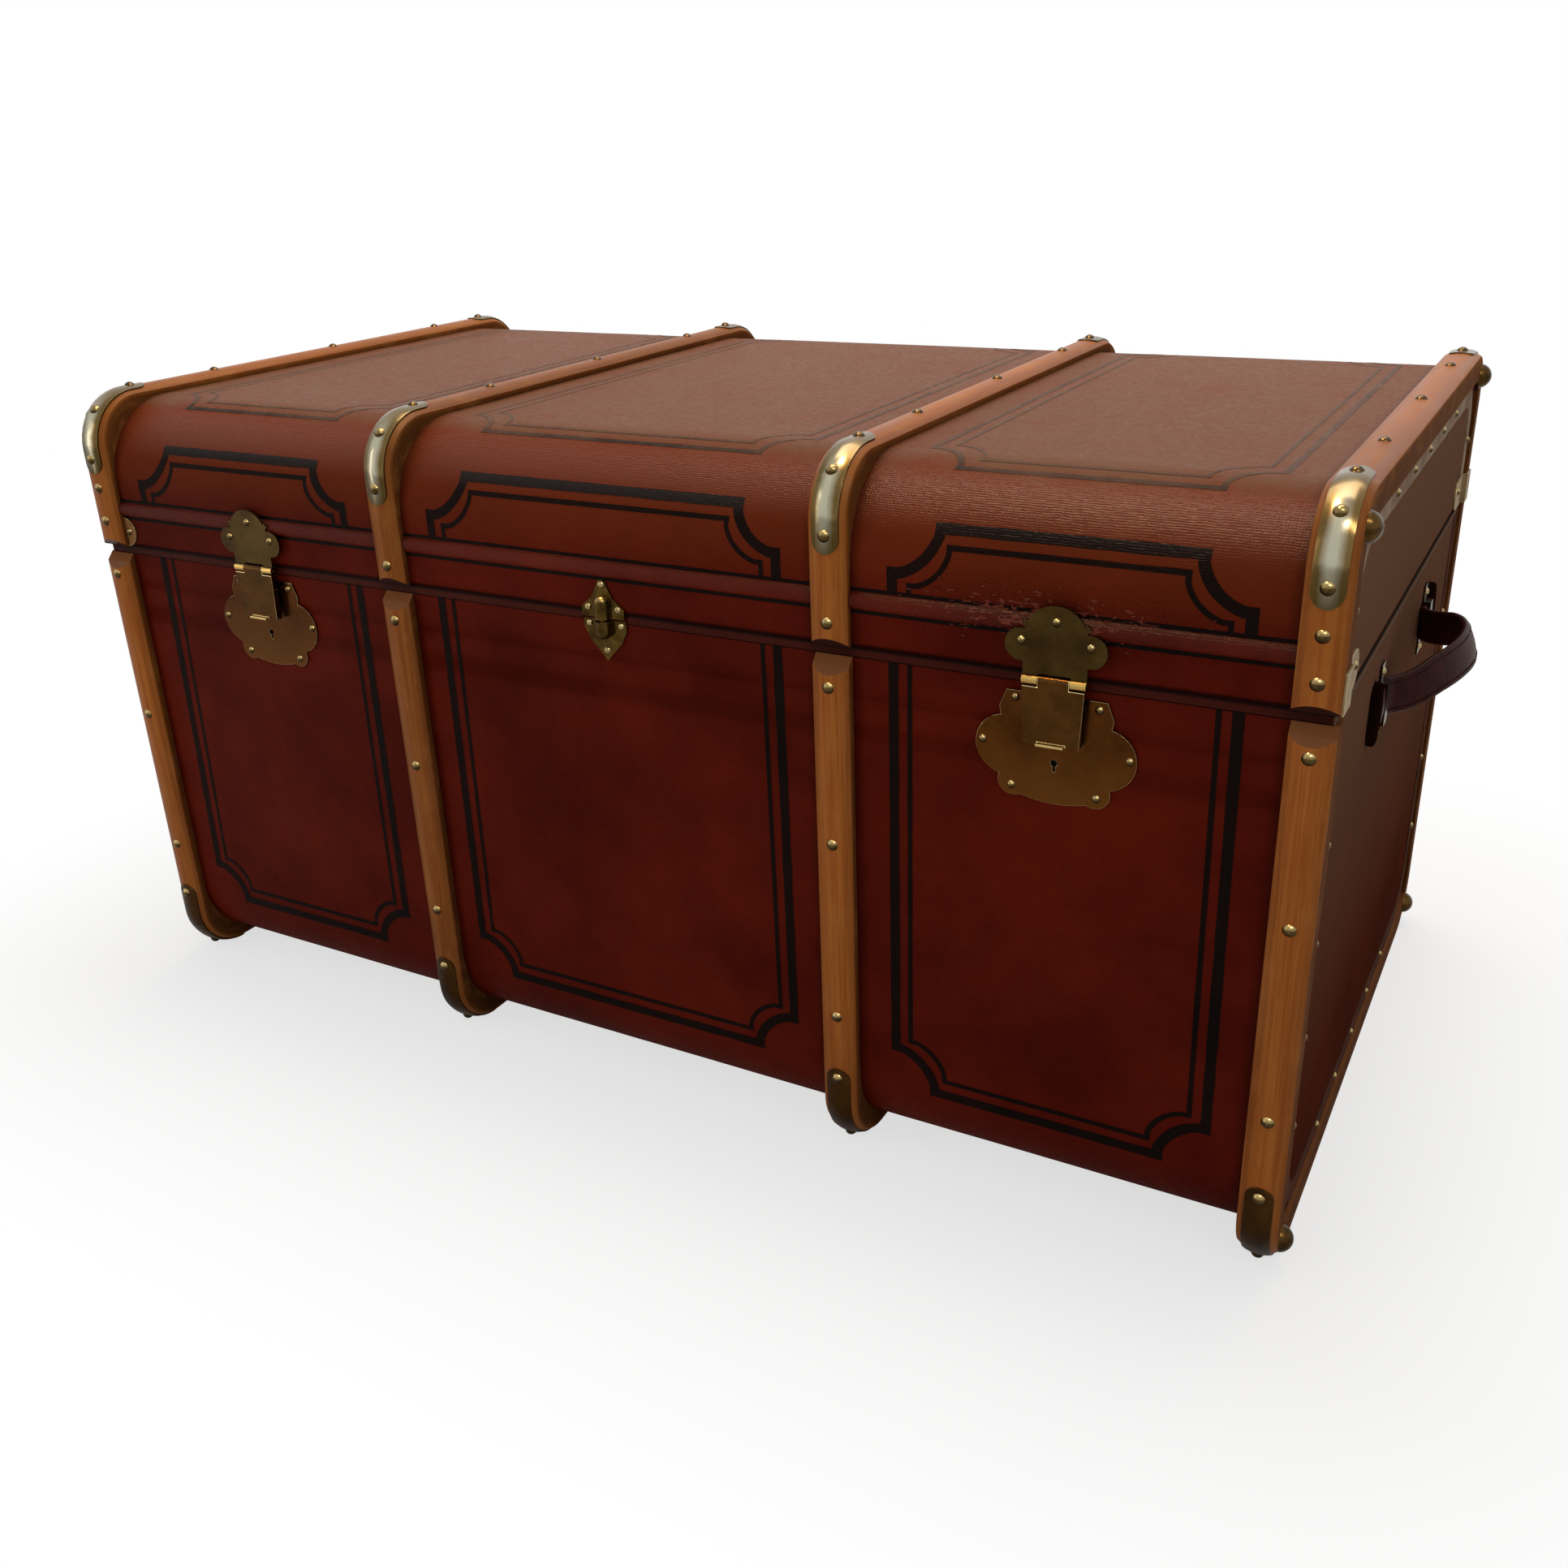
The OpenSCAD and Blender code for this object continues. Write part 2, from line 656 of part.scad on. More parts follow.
module lid_end_binding() color("#c9b291") both_ends() intersection() {
    difference() {
        lid_block(hook, -corner_plate_h, -binding_t);
        lid_block(hook + binding_w, cut, -2 * binding_t);
    }
    span([end_x, -case_d, 0], [end_x + binding_t, case_d, crown_top]);
}

module body_end_binding() color("#8a5a3c") both_ends() intersection() {
    difference() {
        body_block(hook, -rim_strip_h, -binding_t);
        body_block(hook + binding_w, cut, -2 * binding_t);
    }
    span([end_x, -case_d, 0], [end_x + binding_t, case_d, crown_top]);
}

// Nail on an end binding
module binding_nail(y, z) translate([end_x + binding_t, y, z]) rotate([0, 90, 0]) tack();

module lid_binding_nails() color("#b79a5a") both_ends() {
    middle = hook + binding_w / 2;
    for (k = [-2 : 2]) binding_nail(k * binding_pitch, roof_z - middle);
    front_and_back() binding_nail(front_y + middle, roof_z - edge_r);
}

module body_binding_nails() color("#b79a5a") both_ends() {
    middle = hook + binding_w / 2;
    for (k = [-2 : 2]) binding_nail(k * binding_pitch, base_z + middle);
    for (k = [1 : 4]) {
        binding_nail(body_front + middle, base_z + cap_rise + k * binding_pitch);
        binding_nail(back_y - middle, base_z + cap_rise + k * binding_pitch);
    }
}

// Outline of one leg of a corner plate, with a round end
module plate_leg_2d(len) {
    square([len, corner_plate_h]);
    translate([len, corner_plate_h / 2]) circle(corner_plate_h / 2);
}

// Leg on the end board, from the corner towards the middle of the end
module end_leg() translate([end_x, front_y - corner_plate_t, seam_z]) rotate([90, 0, 90])
    linear_extrude(corner_plate_t) plate_leg_2d(end_ear + corner_plate_t);

// Leg under the end hoop
module hidden_leg() span([end_x - hidden_leg_l, front_y - corner_plate_t, seam_z],
    [end_x + corner_plate_t, front_y, seam_z + corner_plate_h]);

// Leg outside the end hoop, with the step down to the end board
module outer_leg() {
    side_x = end_x + slat_side_proud;
    top = [side_x + corner_plate_t, front_y + hook + corner_plate_t, seam_z + corner_plate_h];
    span([side_x, front_y - lid_bevel_start, seam_z], top);
    span([end_x, front_y + hook, seam_z], top);
}

// The legs against the canvas; the left front plate shows beside its hoop too
module inner_legs() {
    both_ends() front_and_back() {
        end_leg();
        hidden_leg();
    }
    translate([-end_x, 0, seam_z]) from_front(front_y - corner_plate_t, corner_plate_t)
        plate_leg_2d(leg_under_slat);
}

module lid_corner_plates() color("#c2a873") {
    inner_legs();
    both_ends() front_and_back() outer_leg();
}

module corner_plate_nails() color("#b79a5a") {
    both_ends() front_and_back()
        translate([end_x + corner_plate_t, front_y + end_ear, seam_z + 0.6 * corner_plate_h])
            rotate([0, 90, 0]) tack();
    front_tacks(leg_under_slat + ear_nail_in + tack_shank_r - end_x, front_y - corner_plate_t,
        [[0, corner_plate_h / 2]]);
}

// Hasp locks

module lock_pocket(x) span([x - lock_case_w, body_front, lock_case_low],
    [x + lock_case_w, ply_face_y + lock_case_t, lock_case_top]);

// Open way for the staple, from below the staple to the rim
module staple_groove(x) span([x - notch_w, body_front - 2 * plate_t, notch_low],
    [x + notch_w, groove_y, seam_z + cut]);

module keyhole(x) translate([x, 0, keyhole_z]) from_front(body_front - 2 * plate_t, groove_y - body_front) {
    circle(keyhole_r);
    translate([-keyhole_slot_w / 2, -keyhole_slot_l]) square([keyhole_slot_w, keyhole_slot_l]);
}

// Outline of a hasp plate, its foot on the seam
module hasp_plate_2d() {
    translate([0, plate_top_h]) circle(plate_top_r);
    translate([-hasp_hinge_w, 0]) square([2 * hasp_hinge_w, plate_side_h]);
    for (s = [-1, 1]) {
        translate([s * plate_side_x, plate_side_h]) circle(plate_side_r);
        translate([s * (plate_top_r - 1), plate_top_h + 2 * plate_nib]) rotate(45)
            square(plate_nib, center = true);
    }
}

// Wooden packing that brings a hasp plate out to the crest of the bead
module hasp_packings() color("#6e2f22") for (x = lock_x)
    translate([x, 0, seam_z]) from_front(hasp_plate_y, bead_proud) {
        translate([packing_inset - hasp_hinge_w, packing_low])
            square([2 * (hasp_hinge_w - packing_inset), packing_step]);
        translate([-plate_side_x - packing_ear, packing_step])
            square([2 * (plate_side_x + packing_ear), bead_rise - bead_w / 2 - packing_step]);
    }

// Cylinder along X on the hasp's axis, between two distances from the lock's middle
module on_hasp_axis(x, low, high, r) translate([x + low, hasp_axis_y, hasp_axis_z]) rotate([0, 90, 0])
    cylinder(r = r, h = high - low);

module hasp_plates() color("#8f7a45") for (x = lock_x) difference() {
    union() {
        translate([x, 0, seam_z]) from_front(hasp_plate_y - plate_t, plate_t) hasp_plate_2d();
        for (low = [-hasp_hinge_w, hasp_knuckle_w]) {
            high = low + hasp_hinge_w - hasp_knuckle_w;
            on_hasp_axis(x, low, high, hasp_knuckle_r);
            span([x + low, hasp_plate_y - plate_t, hasp_axis_z], [x + high, hasp_plate_y, seam_z + cut]);
        }
    }
    on_hasp_axis(x, -far, far, hasp_pin_r + run_gap);
    span([x - hasp_knuckle_w, hasp_plate_y - plate_t - cut, hasp_axis_z - hasp_knuckle_r],
        [x + hasp_knuckle_w, hasp_plate_y + cut, plate_cut_z]);
}

module hasp_plate_nails() color("#b79a5a") for (x = lock_x)
    front_tacks(x, hasp_plate_y - plate_t, hasp_plate_nails_xz);

module hasp_pins() color("#9c7f45") for (x = lock_x)
    on_hasp_axis(x, -hasp_hinge_w, hasp_hinge_w, hasp_pin_r);

// Hasp with its knuckle, folded sides, lip and staple
module hasp(x) color("#8f7a45") difference() {
    knuckle_w = hasp_knuckle_w - pass_gap;
    union() {
        on_hasp_axis(x, -knuckle_w, knuckle_w, hasp_knuckle_r);
        span([x - knuckle_w, hasp_face_y, hasp_foot_z], [x + knuckle_w, hasp_face_y + plate_t, hasp_axis_z]);
        translate([x, 0, 0]) from_front(hasp_face_y, plate_t)
            polygon([[-hasp_foot_w, hasp_foot_z], [hasp_foot_w, hasp_foot_z],
                [hasp_top_w, hasp_top_z], [-hasp_top_w, hasp_top_z]]);
        for (side_x = [x - hasp_foot_w, x + hasp_foot_w - plate_t])
            span([side_x, hasp_face_y, hasp_foot_z],
                [side_x + plate_t, hasp_side_y, hasp_foot_z + hasp_side_l]);
        span([x - lip_w, hasp_face_y - lip_out, hasp_foot_z],
            [x + lip_w, hasp_face_y + plate_t, hasp_foot_z + plate_t]);
        span([x - staple_w, hasp_face_y, staple_z - staple_h],
            [x + staple_w, staple_tip_y, staple_z + staple_h]);
    }
    on_hasp_axis(x, -far, far, hasp_pin_r + run_gap);
    on_bolt_axis(x, -far, far, bolt_r + pass_gap);
}

// Outline of a lock plate in (x, z)
module lock_plate_2d() {
    for (s = [-1, 1]) {
        translate([s * lock_lobe_x, lock_lobe_z]) circle(lock_lobe_r);
        translate([s * lock_foot_x, lock_foot_z]) circle(lock_foot_r);
    }
    polygon([[-lock_shoulder_w, lock_plate_top], [lock_shoulder_w, lock_plate_top],
        [lock_cusp_w, lock_cusp_z], [lock_lobe_x, lock_lobe_z], [lock_foot_x, lock_foot_z],
        [-lock_foot_x, lock_foot_z], [-lock_lobe_x, lock_lobe_z], [-lock_cusp_w, lock_cusp_z]]);
    intersection() {
        translate([0, lock_plate_low + lock_sole_r]) circle(lock_sole_r);
        translate([-lock_foot_x, lock_plate_low]) square([2 * lock_foot_x, lock_plate_h / 2]);
    }
}

module lock_plates() color("#8f7a45") for (x = lock_x) difference() {
    translate([x, 0, 0]) from_front(body_front - plate_t, plate_t) lock_plate_2d();
    staple_groove(x);
    keyhole(x);
}

module lock_plate_nails() color("#b79a5a") for (x = lock_x)
    front_tacks(x, body_front - plate_t, lock_plate_nails_xz);

// Bore or bolt along X at the staple's height, between two distances from the lock's middle
module on_bolt_axis(x, low, high, r) translate([x + low, bolt_y, staple_z]) rotate([0, 90, 0])
    cylinder(r = r, h = high - low);

module lock_cases() color("#5b5048") for (x = lock_x) difference() {
    span([x - lock_case_w, ply_face_y, lock_case_low],
        [x + lock_case_w, ply_face_y + lock_case_t, lock_case_top]);
    staple_groove(x);
    keyhole(x);
    on_bolt_axis(x, bolt_x - bolt_l - run_gap, -notch_w + cut, bolt_r + run_gap);
}

module lock_bolt(x) color("#8b8680") on_bolt_axis(x, bolt_x - bolt_l, bolt_x, bolt_r);

// Guide clasp

// Half-round barrel on the plane y = face, with a domed end, going up from low or turned to go down
module barrel(face, low, len, turn) intersection() {
    translate([clasp_x, barrel_y, low]) rotate([turn, 0, 0]) {
        cylinder(r = barrel_r, h = len - barrel_r);
        translate([0, 0, len - barrel_r]) sphere(barrel_r);
    }
    span([-far, -far, 0], [far, face, crown_top]);
    span([-far, -far, turn > 0 ? 0 : low], [far, face, turn > 0 ? low : crown_top]);
}

module guide_clasp_upper() color("#8f7a45") {
    translate([clasp_x, 0, upper_clasp_low]) from_front(front_y - plate_t, plate_t) {
        polygon([[-clasp_w, 0], [clasp_w, 0], [clasp_w, 0.3 * upper_clasp_h],
            [clasp_w / 2, 0.6 * upper_clasp_h], [clasp_tip_r, upper_clasp_h],
            [-clasp_tip_r, upper_clasp_h], [-clasp_w / 2, 0.6 * upper_clasp_h],
            [-clasp_w, 0.3 * upper_clasp_h]]);
        translate([0, upper_clasp_h]) circle(clasp_tip_r);
    }
    barrel(front_y, upper_clasp_low, barrel_up, 0);
    translate([clasp_x, barrel_y, upper_clasp_low - peg_l]) cylinder(r = peg_r, h = peg_l + cut);
}

module guide_clasp_lower() color("#8f7a45") difference() {
    union() {
        translate([clasp_x, 0, lower_clasp_top]) from_front(body_front - plate_t, plate_t)
            polygon([[-clasp_w, 0], [clasp_w, 0], [clasp_w, -0.23 * lower_clasp_h],
                [0.72 * clasp_w, -0.55 * lower_clasp_h], [0.28 * clasp_w, -0.8 * lower_clasp_h],
                [0, -lower_clasp_h], [-0.28 * clasp_w, -0.8 * lower_clasp_h],
                [-0.72 * clasp_w, -0.55 * lower_clasp_h], [-clasp_w, -0.23 * lower_clasp_h]]);
        barrel(body_front, lower_clasp_top, barrel_down, 180);
    }
    translate([clasp_x, barrel_y, upper_clasp_low - peg_l - cut]) cylinder(r = peg_r + peg_gap, h = far);
}

module clasp_nails_upper() color("#b79a5a")
    front_tacks(clasp_x, front_y - plate_t, upper_clasp_nails_xz);

module clasp_nails_lower() color("#b79a5a")
    front_tacks(clasp_x, body_front - plate_t, lower_clasp_nails_xz);

// Back hinges

// Cylinder along X on the lid's axis
module on_lid_axis(x, low, high, r) translate([x + low, hinge_axis_y, seam_z]) rotate([0, 90, 0])
    cylinder(r = r, h = high - low);

module hinge_lid_leaves() color("#8f7a45") for (x = hinge_x) difference() {
    union() {
        span([x - hinge_w, back_y, seam_z + hinge_r + pass_gap],
            [x + hinge_w, back_y + leaf_t, seam_z + lid_leaf_h]);
        span([x - hinge_knuckle_w, back_y, seam_z],
            [x + hinge_knuckle_w, back_y + leaf_t, seam_z + lid_leaf_h]);
        on_lid_axis(x, -hinge_knuckle_w, hinge_knuckle_w, hinge_r);
    }
    on_lid_axis(x, -far, far, pin_r + run_gap);
}

module hinge_body_leaves() color("#8f7a45") for (x = hinge_x) difference() {
    gap_w = hinge_knuckle_w + pass_gap;
    union() {
        span([x - hinge_w, back_y, seam_z - body_leaf_h], [x + hinge_w, back_y + leaf_t, seam_z]);
        on_lid_axis(x, -hinge_w, hinge_w, hinge_r);
    }
    span([x - gap_w, back_y - cut, seam_z - hinge_r - pass_gap],
        [x + gap_w, hinge_axis_y + 2 * hinge_r, seam_z + 2 * hinge_r]);
    on_lid_axis(x, -far, far, pin_r + run_gap);
}

module hinge_pins() color("#9c7f45") for (x = hinge_x) on_lid_axis(x, -hinge_w, hinge_w, pin_r);

// One row of nails on every hinge leaf
module leaf_nails(z) color("#b79a5a") for (x = hinge_x, s = [-1 : 1])
    translate([x + s * (hinge_w - leaf_nail_inset), back_y + leaf_t, z]) rotate([-90, 0, 0]) tack();

module hinge_lid_nails() leaf_nails(seam_z + lid_leaf_h - leaf_nail_inset);

module hinge_body_nails() leaf_nails(seam_z - body_leaf_h + leaf_nail_inset);

// Leather handles

// Ring of the strap's thickness about the radius r
module strap_ring_2d(r) difference() {
    circle(r + strap_mid);
    circle(r - strap_mid);
}

// The bowed part of the strap between two distances from the middle, as (y, reach)
module bow_2d(low, high) intersection() {
    translate(bow_centre) strap_ring_2d(bow_top_r);
    translate([low, 0]) square([high - low, bow_out + strap_t + cut]);
}

// The stretch that turns from the neck into the bow, ending where the strap swings
module turn_2d() {
    intersection() {
        bow_2d(swing_half + swing_gap, bow_half);
        polygon([bow_centre, foot_centre, [0, far]]);
    }
    intersection() {
        translate(foot_centre) strap_ring_2d(bow_foot_r);
        polygon([bow_centre, foot_centre, [bow_half, bow_centre[1]]]);
    }
}

// Extrudes a (y, reach) outline over the strap's height, at the right end
module at_right_end() translate([end_x, 0, handle_z]) rotate([0, 0, -90]) mirror([1, 0, 0])
    linear_extrude(strap_h, center = true) children();

// Tee end with its neck and the stretch that turns out of the loop
module handle_end() {
    at_right_end() {
        translate([bow_half, 0]) square([handle_half - bow_half, strap_t]);
        turn_2d();
    }
    translate([end_x, 0, handle_z]) rotate([90, 0, 90]) linear_extrude(strap_t) {
        translate([handle_half - tee_w, tee_w - tee_h]) square([2 * tee_w, 2 * (tee_h - tee_w)]);
        for (s = [-1, 1]) translate([handle_half, s * (tee_h - tee_w)]) circle(tee_w);
    }
}

module handle_ends() color("#4a1c1a") both_ends() front_and_back() handle_end();

// Bowed strap, tilted up about its pivot line
module handle_strap() color("#4a1c1a") translate([end_x + strap_pivot, 0, handle_z])
    rotate([0, -strap_tilt, 0]) translate([-end_x - strap_pivot, 0, -handle_z]) at_right_end()
        bow_2d(-swing_half, swing_half);

module handle_right_strap() handle_strap();

module handle_left_strap() mirror([1, 0, 0]) handle_strap();

// One leg and ear of a loop, as (reach, z) from the middle of the strap
module loop_leg_2d() translate([0, strap_h / 2 + pass_gap]) {
    square([strap_t + loop_t, loop_t]);
    square([loop_t, loop_ear]);
}

// Brass bands over the necks of the tee ends
module handle_loops() color("#a58a4c") both_ends() front_and_back()
    translate([end_x, -loop_y, handle_z]) rotate([90, 0, 0]) linear_extrude(2 * loop_w, center = true) {
        loop_leg_2d();
        mirror([0, 1]) loop_leg_2d();
        translate([strap_t + run_gap, -strap_h / 2 - pass_gap - loop_t])
            square([loop_t, strap_h + 2 * (pass_gap + loop_t)]);
    }

module handle_nails() color("#b79a5a") both_ends() front_and_back() for (s = [-1, 1])
    translate([end_x + loop_t, -loop_y, handle_z + s * (strap_h / 2 + ear_nail)]) rotate([0, 90, 0]) tack();

body_wrap();
body_end_boards();
body_canvas();
body_lining();
rim_strip();
rim_tongue();
lid_wrap();
lid_end_boards();
lid_canvas();
lid_lining();
lid_bead();
for (i = [0 : 3]) lid_slat(slat_x[i]);
for (i = [0 : 3]) body_slat(slat_x[i]);
lid_slat_caps();
body_slat_caps();
lid_slat_nails();
body_slat_nails();
lid_corner_studs();
body_corner_studs();
lid_end_binding();
body_end_binding();
lid_binding_nails();
body_binding_nails();
lid_corner_plates();
corner_plate_nails();
hasp_packings();
hasp_plates();
hasp_plate_nails();
hasp_pins();
hasp(left_lock_x);  // hasp_left
hasp(right_lock_x);  // hasp_right
lock_plates();
lock_plate_nails();
lock_cases();
lock_bolt(left_lock_x);  // lock_bolt_left
lock_bolt(right_lock_x);  // lock_bolt_right
guide_clasp_upper();
guide_clasp_lower();
clasp_nails_upper();
clasp_nails_lower();
hinge_lid_leaves();
hinge_body_leaves();
hinge_pins();
hinge_lid_nails();
hinge_body_nails();
handle_ends();
handle_left_strap();
handle_right_strap();
handle_loops();
handle_nails();
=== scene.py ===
# Travel trunk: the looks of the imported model, built up in the order of the real one
import math

import bpy
from mathutils import Matrix, Quaternion, Vector, noise


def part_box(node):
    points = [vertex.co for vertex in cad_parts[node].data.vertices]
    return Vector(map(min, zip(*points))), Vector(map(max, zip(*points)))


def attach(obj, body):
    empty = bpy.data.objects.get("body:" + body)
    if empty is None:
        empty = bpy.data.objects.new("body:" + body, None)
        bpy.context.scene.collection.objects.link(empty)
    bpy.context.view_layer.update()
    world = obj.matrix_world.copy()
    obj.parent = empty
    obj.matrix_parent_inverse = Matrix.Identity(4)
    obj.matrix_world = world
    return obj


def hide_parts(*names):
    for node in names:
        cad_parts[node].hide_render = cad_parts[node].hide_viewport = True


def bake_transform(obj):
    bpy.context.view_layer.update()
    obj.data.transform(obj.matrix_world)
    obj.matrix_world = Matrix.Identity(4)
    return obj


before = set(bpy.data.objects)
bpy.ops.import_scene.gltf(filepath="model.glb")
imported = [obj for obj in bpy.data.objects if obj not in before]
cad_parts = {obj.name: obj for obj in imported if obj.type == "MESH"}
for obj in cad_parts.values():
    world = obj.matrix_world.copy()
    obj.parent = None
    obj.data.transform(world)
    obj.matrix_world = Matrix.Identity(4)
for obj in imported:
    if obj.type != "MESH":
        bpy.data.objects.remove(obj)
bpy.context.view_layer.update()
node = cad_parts

# Plywood shell
# Case and lid are boxes of 9 mm birch plywood, glued and pinned, with a tongue inside the rim.
# The raw wood shows inside only, at the rim and on the tongue.


def linear(code):
    """An sRGB hex colour as linear RGBA."""
    parts = [int(code[i:i + 2], 16) / 255 for i in (1, 3, 5)]
    return [p / 12.92 if p <= 0.04045 else ((p + 0.055) / 1.055) ** 2.4 for p in parts] + [1.0]


def add_node(tree, kind, inputs=(), stops=(), **settings):
    """Adds a shader node with its settings, its colour stops, and its fed or set inputs."""
    made = tree.nodes.new("ShaderNode" + kind)
    for name, value in settings.items():
        setattr(made, name, value)
    for i, (place, colour) in enumerate(stops):
        stop = made.color_ramp.elements[i] if i < 2 else made.color_ramp.elements.new(place)
        stop.position = place
        stop.color = linear(colour) if isinstance(colour, str) else [colour] * 3 + [1.0]
    for socket, value in dict(inputs).items():
        if isinstance(value, bpy.types.NodeSocket):
            tree.links.new(value, made.inputs[socket])
        else:
            made.inputs[socket].default_value = value
    return made


def toned(tree, value, stops):
    """A value turned into tones by colour stops, as a socket."""
    return add_node(tree, "ValToRGB", {0: value}, stops).outputs[0]


def stretched(tree, place, scale):
    """A place with its three axes scaled, as a socket."""
    return add_node(tree, "Mapping", {0: place, 3: scale}).outputs[0]


def clouds(tree, place, scale, detail=2.0, roughness=0.5, distortion=0.0):
    """Uneven clouds about 0.5, as a socket."""
    return add_node(tree, "TexNoise", {0: place, 2: scale, 3: detail, 4: roughness,
                                       8: distortion}).outputs[0]


def bumped(tree, height, strength, distance):
    """A surface raised by height, as a socket."""
    return add_node(tree, "Bump", {"Strength": strength, "Distance": distance,
                                   "Height": height}).outputs[0]


def feed(tree, shader, **sockets):
    """Feeds the shader's inputs from sockets."""
    for name, socket in sockets.items():
        tree.links.new(socket, shader.inputs[name.replace("_", " ")])


def new_finish(name, roughness, **sockets):
    """A material with its node tree, its shader and its position in the trunk's own frame."""
    finish = bpy.data.materials.new(name)
    finish.use_nodes = True
    tree = finish.node_tree
    shader = tree.nodes["Principled BSDF"]
    shader.inputs["Roughness"].default_value = roughness
    for socket, value in sockets.items():
        shader.inputs[socket.replace("_", " ")].default_value = value
    place = add_node(tree, "TexCoord").outputs["Object"]
    return finish, tree, shader, place


def dress(name, finish, rim=None, rim_width=0.0003):
    """Gives a CAD node its finish. A rim is a narrow bevel on the sharp edges, in its own finish."""
    piece = node[name]
    piece.data.materials.clear()
    piece.data.materials.append(finish)
    if rim:
        piece.data.materials.append(rim)
        weld = piece.modifiers.new("weld", "WELD")
        weld.merge_threshold = 0.000005
        bevel = piece.modifiers.new("rim", "BEVEL")
        bevel.width = rim_width
        bevel.segments = 2
        bevel.limit_method = "ANGLE"
        bevel.angle_limit = math.radians(38)
        bevel.material = 1
        piece.modifiers.new("even_light", "WEIGHTED_NORMAL").keep_sharp = True


def plywood(name):
    """Birch plywood: peeled veneer, so wide pale flames along the sheet and no pores."""
    finish, tree, shader, place = new_finish(name, 0.62, Specular_IOR_Level=0.2)
    # A flame of peeled birch is about 40 mm long and 6 mm wide
    flame = clouds(tree, stretched(tree, place, (25, 160, 160)), 1.0, 4.0, distortion=1.2)
    feed(tree, shader, Base_Color=toned(tree, flame, [(0.3, "#a9804f"), (0.7, "#d2ac78")]),
         Normal=bumped(tree, flame, 0.2, 0.0002))
    return finish


birch_ply = plywood("birch_plywood")
for name in ("body_wrap", "body_end_boards", "lid_wrap", "lid_end_boards", "rim_tongue"):
    dress(name, birch_ply)

# Linings
# The inside is pasted with cream ticking paper, ruled with thin brown stripes.
# It lies 0.8 mm off the boards and follows their rounded edges.


def tub_point(shell, run):
    """A point (y, z) of a shell's outline and its outward normal, at a run from the front rim.

    A shell is its front, back, rim, floor and the radius of its edges. The lid's floor is its roof.
    """
    front, back, rim, floor, radius = shell
    way = 1 if floor > rim else -1
    side = abs(floor - rim) - radius
    turn = radius * math.pi / 2
    flat = back - front - 2 * radius
    centre_z = floor - way * radius
    # In turn: the front, the front bend, the floor, the back bend and the back
    if run < side:
        return front, rim + way * run, -1.0, 0.0
    if run < side + turn:
        angle = (run - side) / radius
        out_y, out_z = -math.cos(angle), way * math.sin(angle)
        return front + radius * (1 + out_y), centre_z + radius * out_z, out_y, out_z
    if run < side + turn + flat:
        return front + radius + run - side - turn, floor, 0.0, float(way)
    if run < side + 2 * turn + flat:
        angle = (run - side - turn - flat) / radius
        out_y, out_z = math.sin(angle), way * math.cos(angle)
        return back - radius * (1 - out_y), centre_z + radius * out_z, out_y, out_z
    return back, centre_z - way * (run - side - 2 * turn - flat), 1.0, 0.0


def tub_length(shell):
    """Length of a shell's outline from rim to rim."""
    front, back, rim, floor, radius = shell
    return 2 * (abs(floor - rim) - radius) + math.pi * radius + back - front - 2 * radius


def spread(low, high, step, extra=()):
    """Even stations from low to high, and extra ones, which replace the even ones near them."""
    count = max(1, round((high - low) / step))
    even = [low + (high - low) * i / count for i in range(1, count)]
    even = [e for e in even if all(abs(e - x) > step * 0.45 for x in extra)]
    return sorted([low, high] + even + [e for e in extra if low < e < high])


def make_piece(name, points, faces, finish, uvs=None):
    """A smooth mesh piece with one finish. Its UVs are in metres."""
    mesh = bpy.data.meshes.new(name)
    mesh.from_pydata(points, [], faces)
    if uvs:
        layer = mesh.uv_layers.new(name="UVMap")
        for loop in mesh.loops:
            layer.data[loop.index].uv = uvs[loop.vertex_index]
    mesh.polygons.foreach_set("use_smooth", [True] * len(faces))
    mesh.materials.append(finish)
    piece = bpy.data.objects.new(name, mesh)
    bpy.context.scene.collection.objects.link(piece)
    return piece


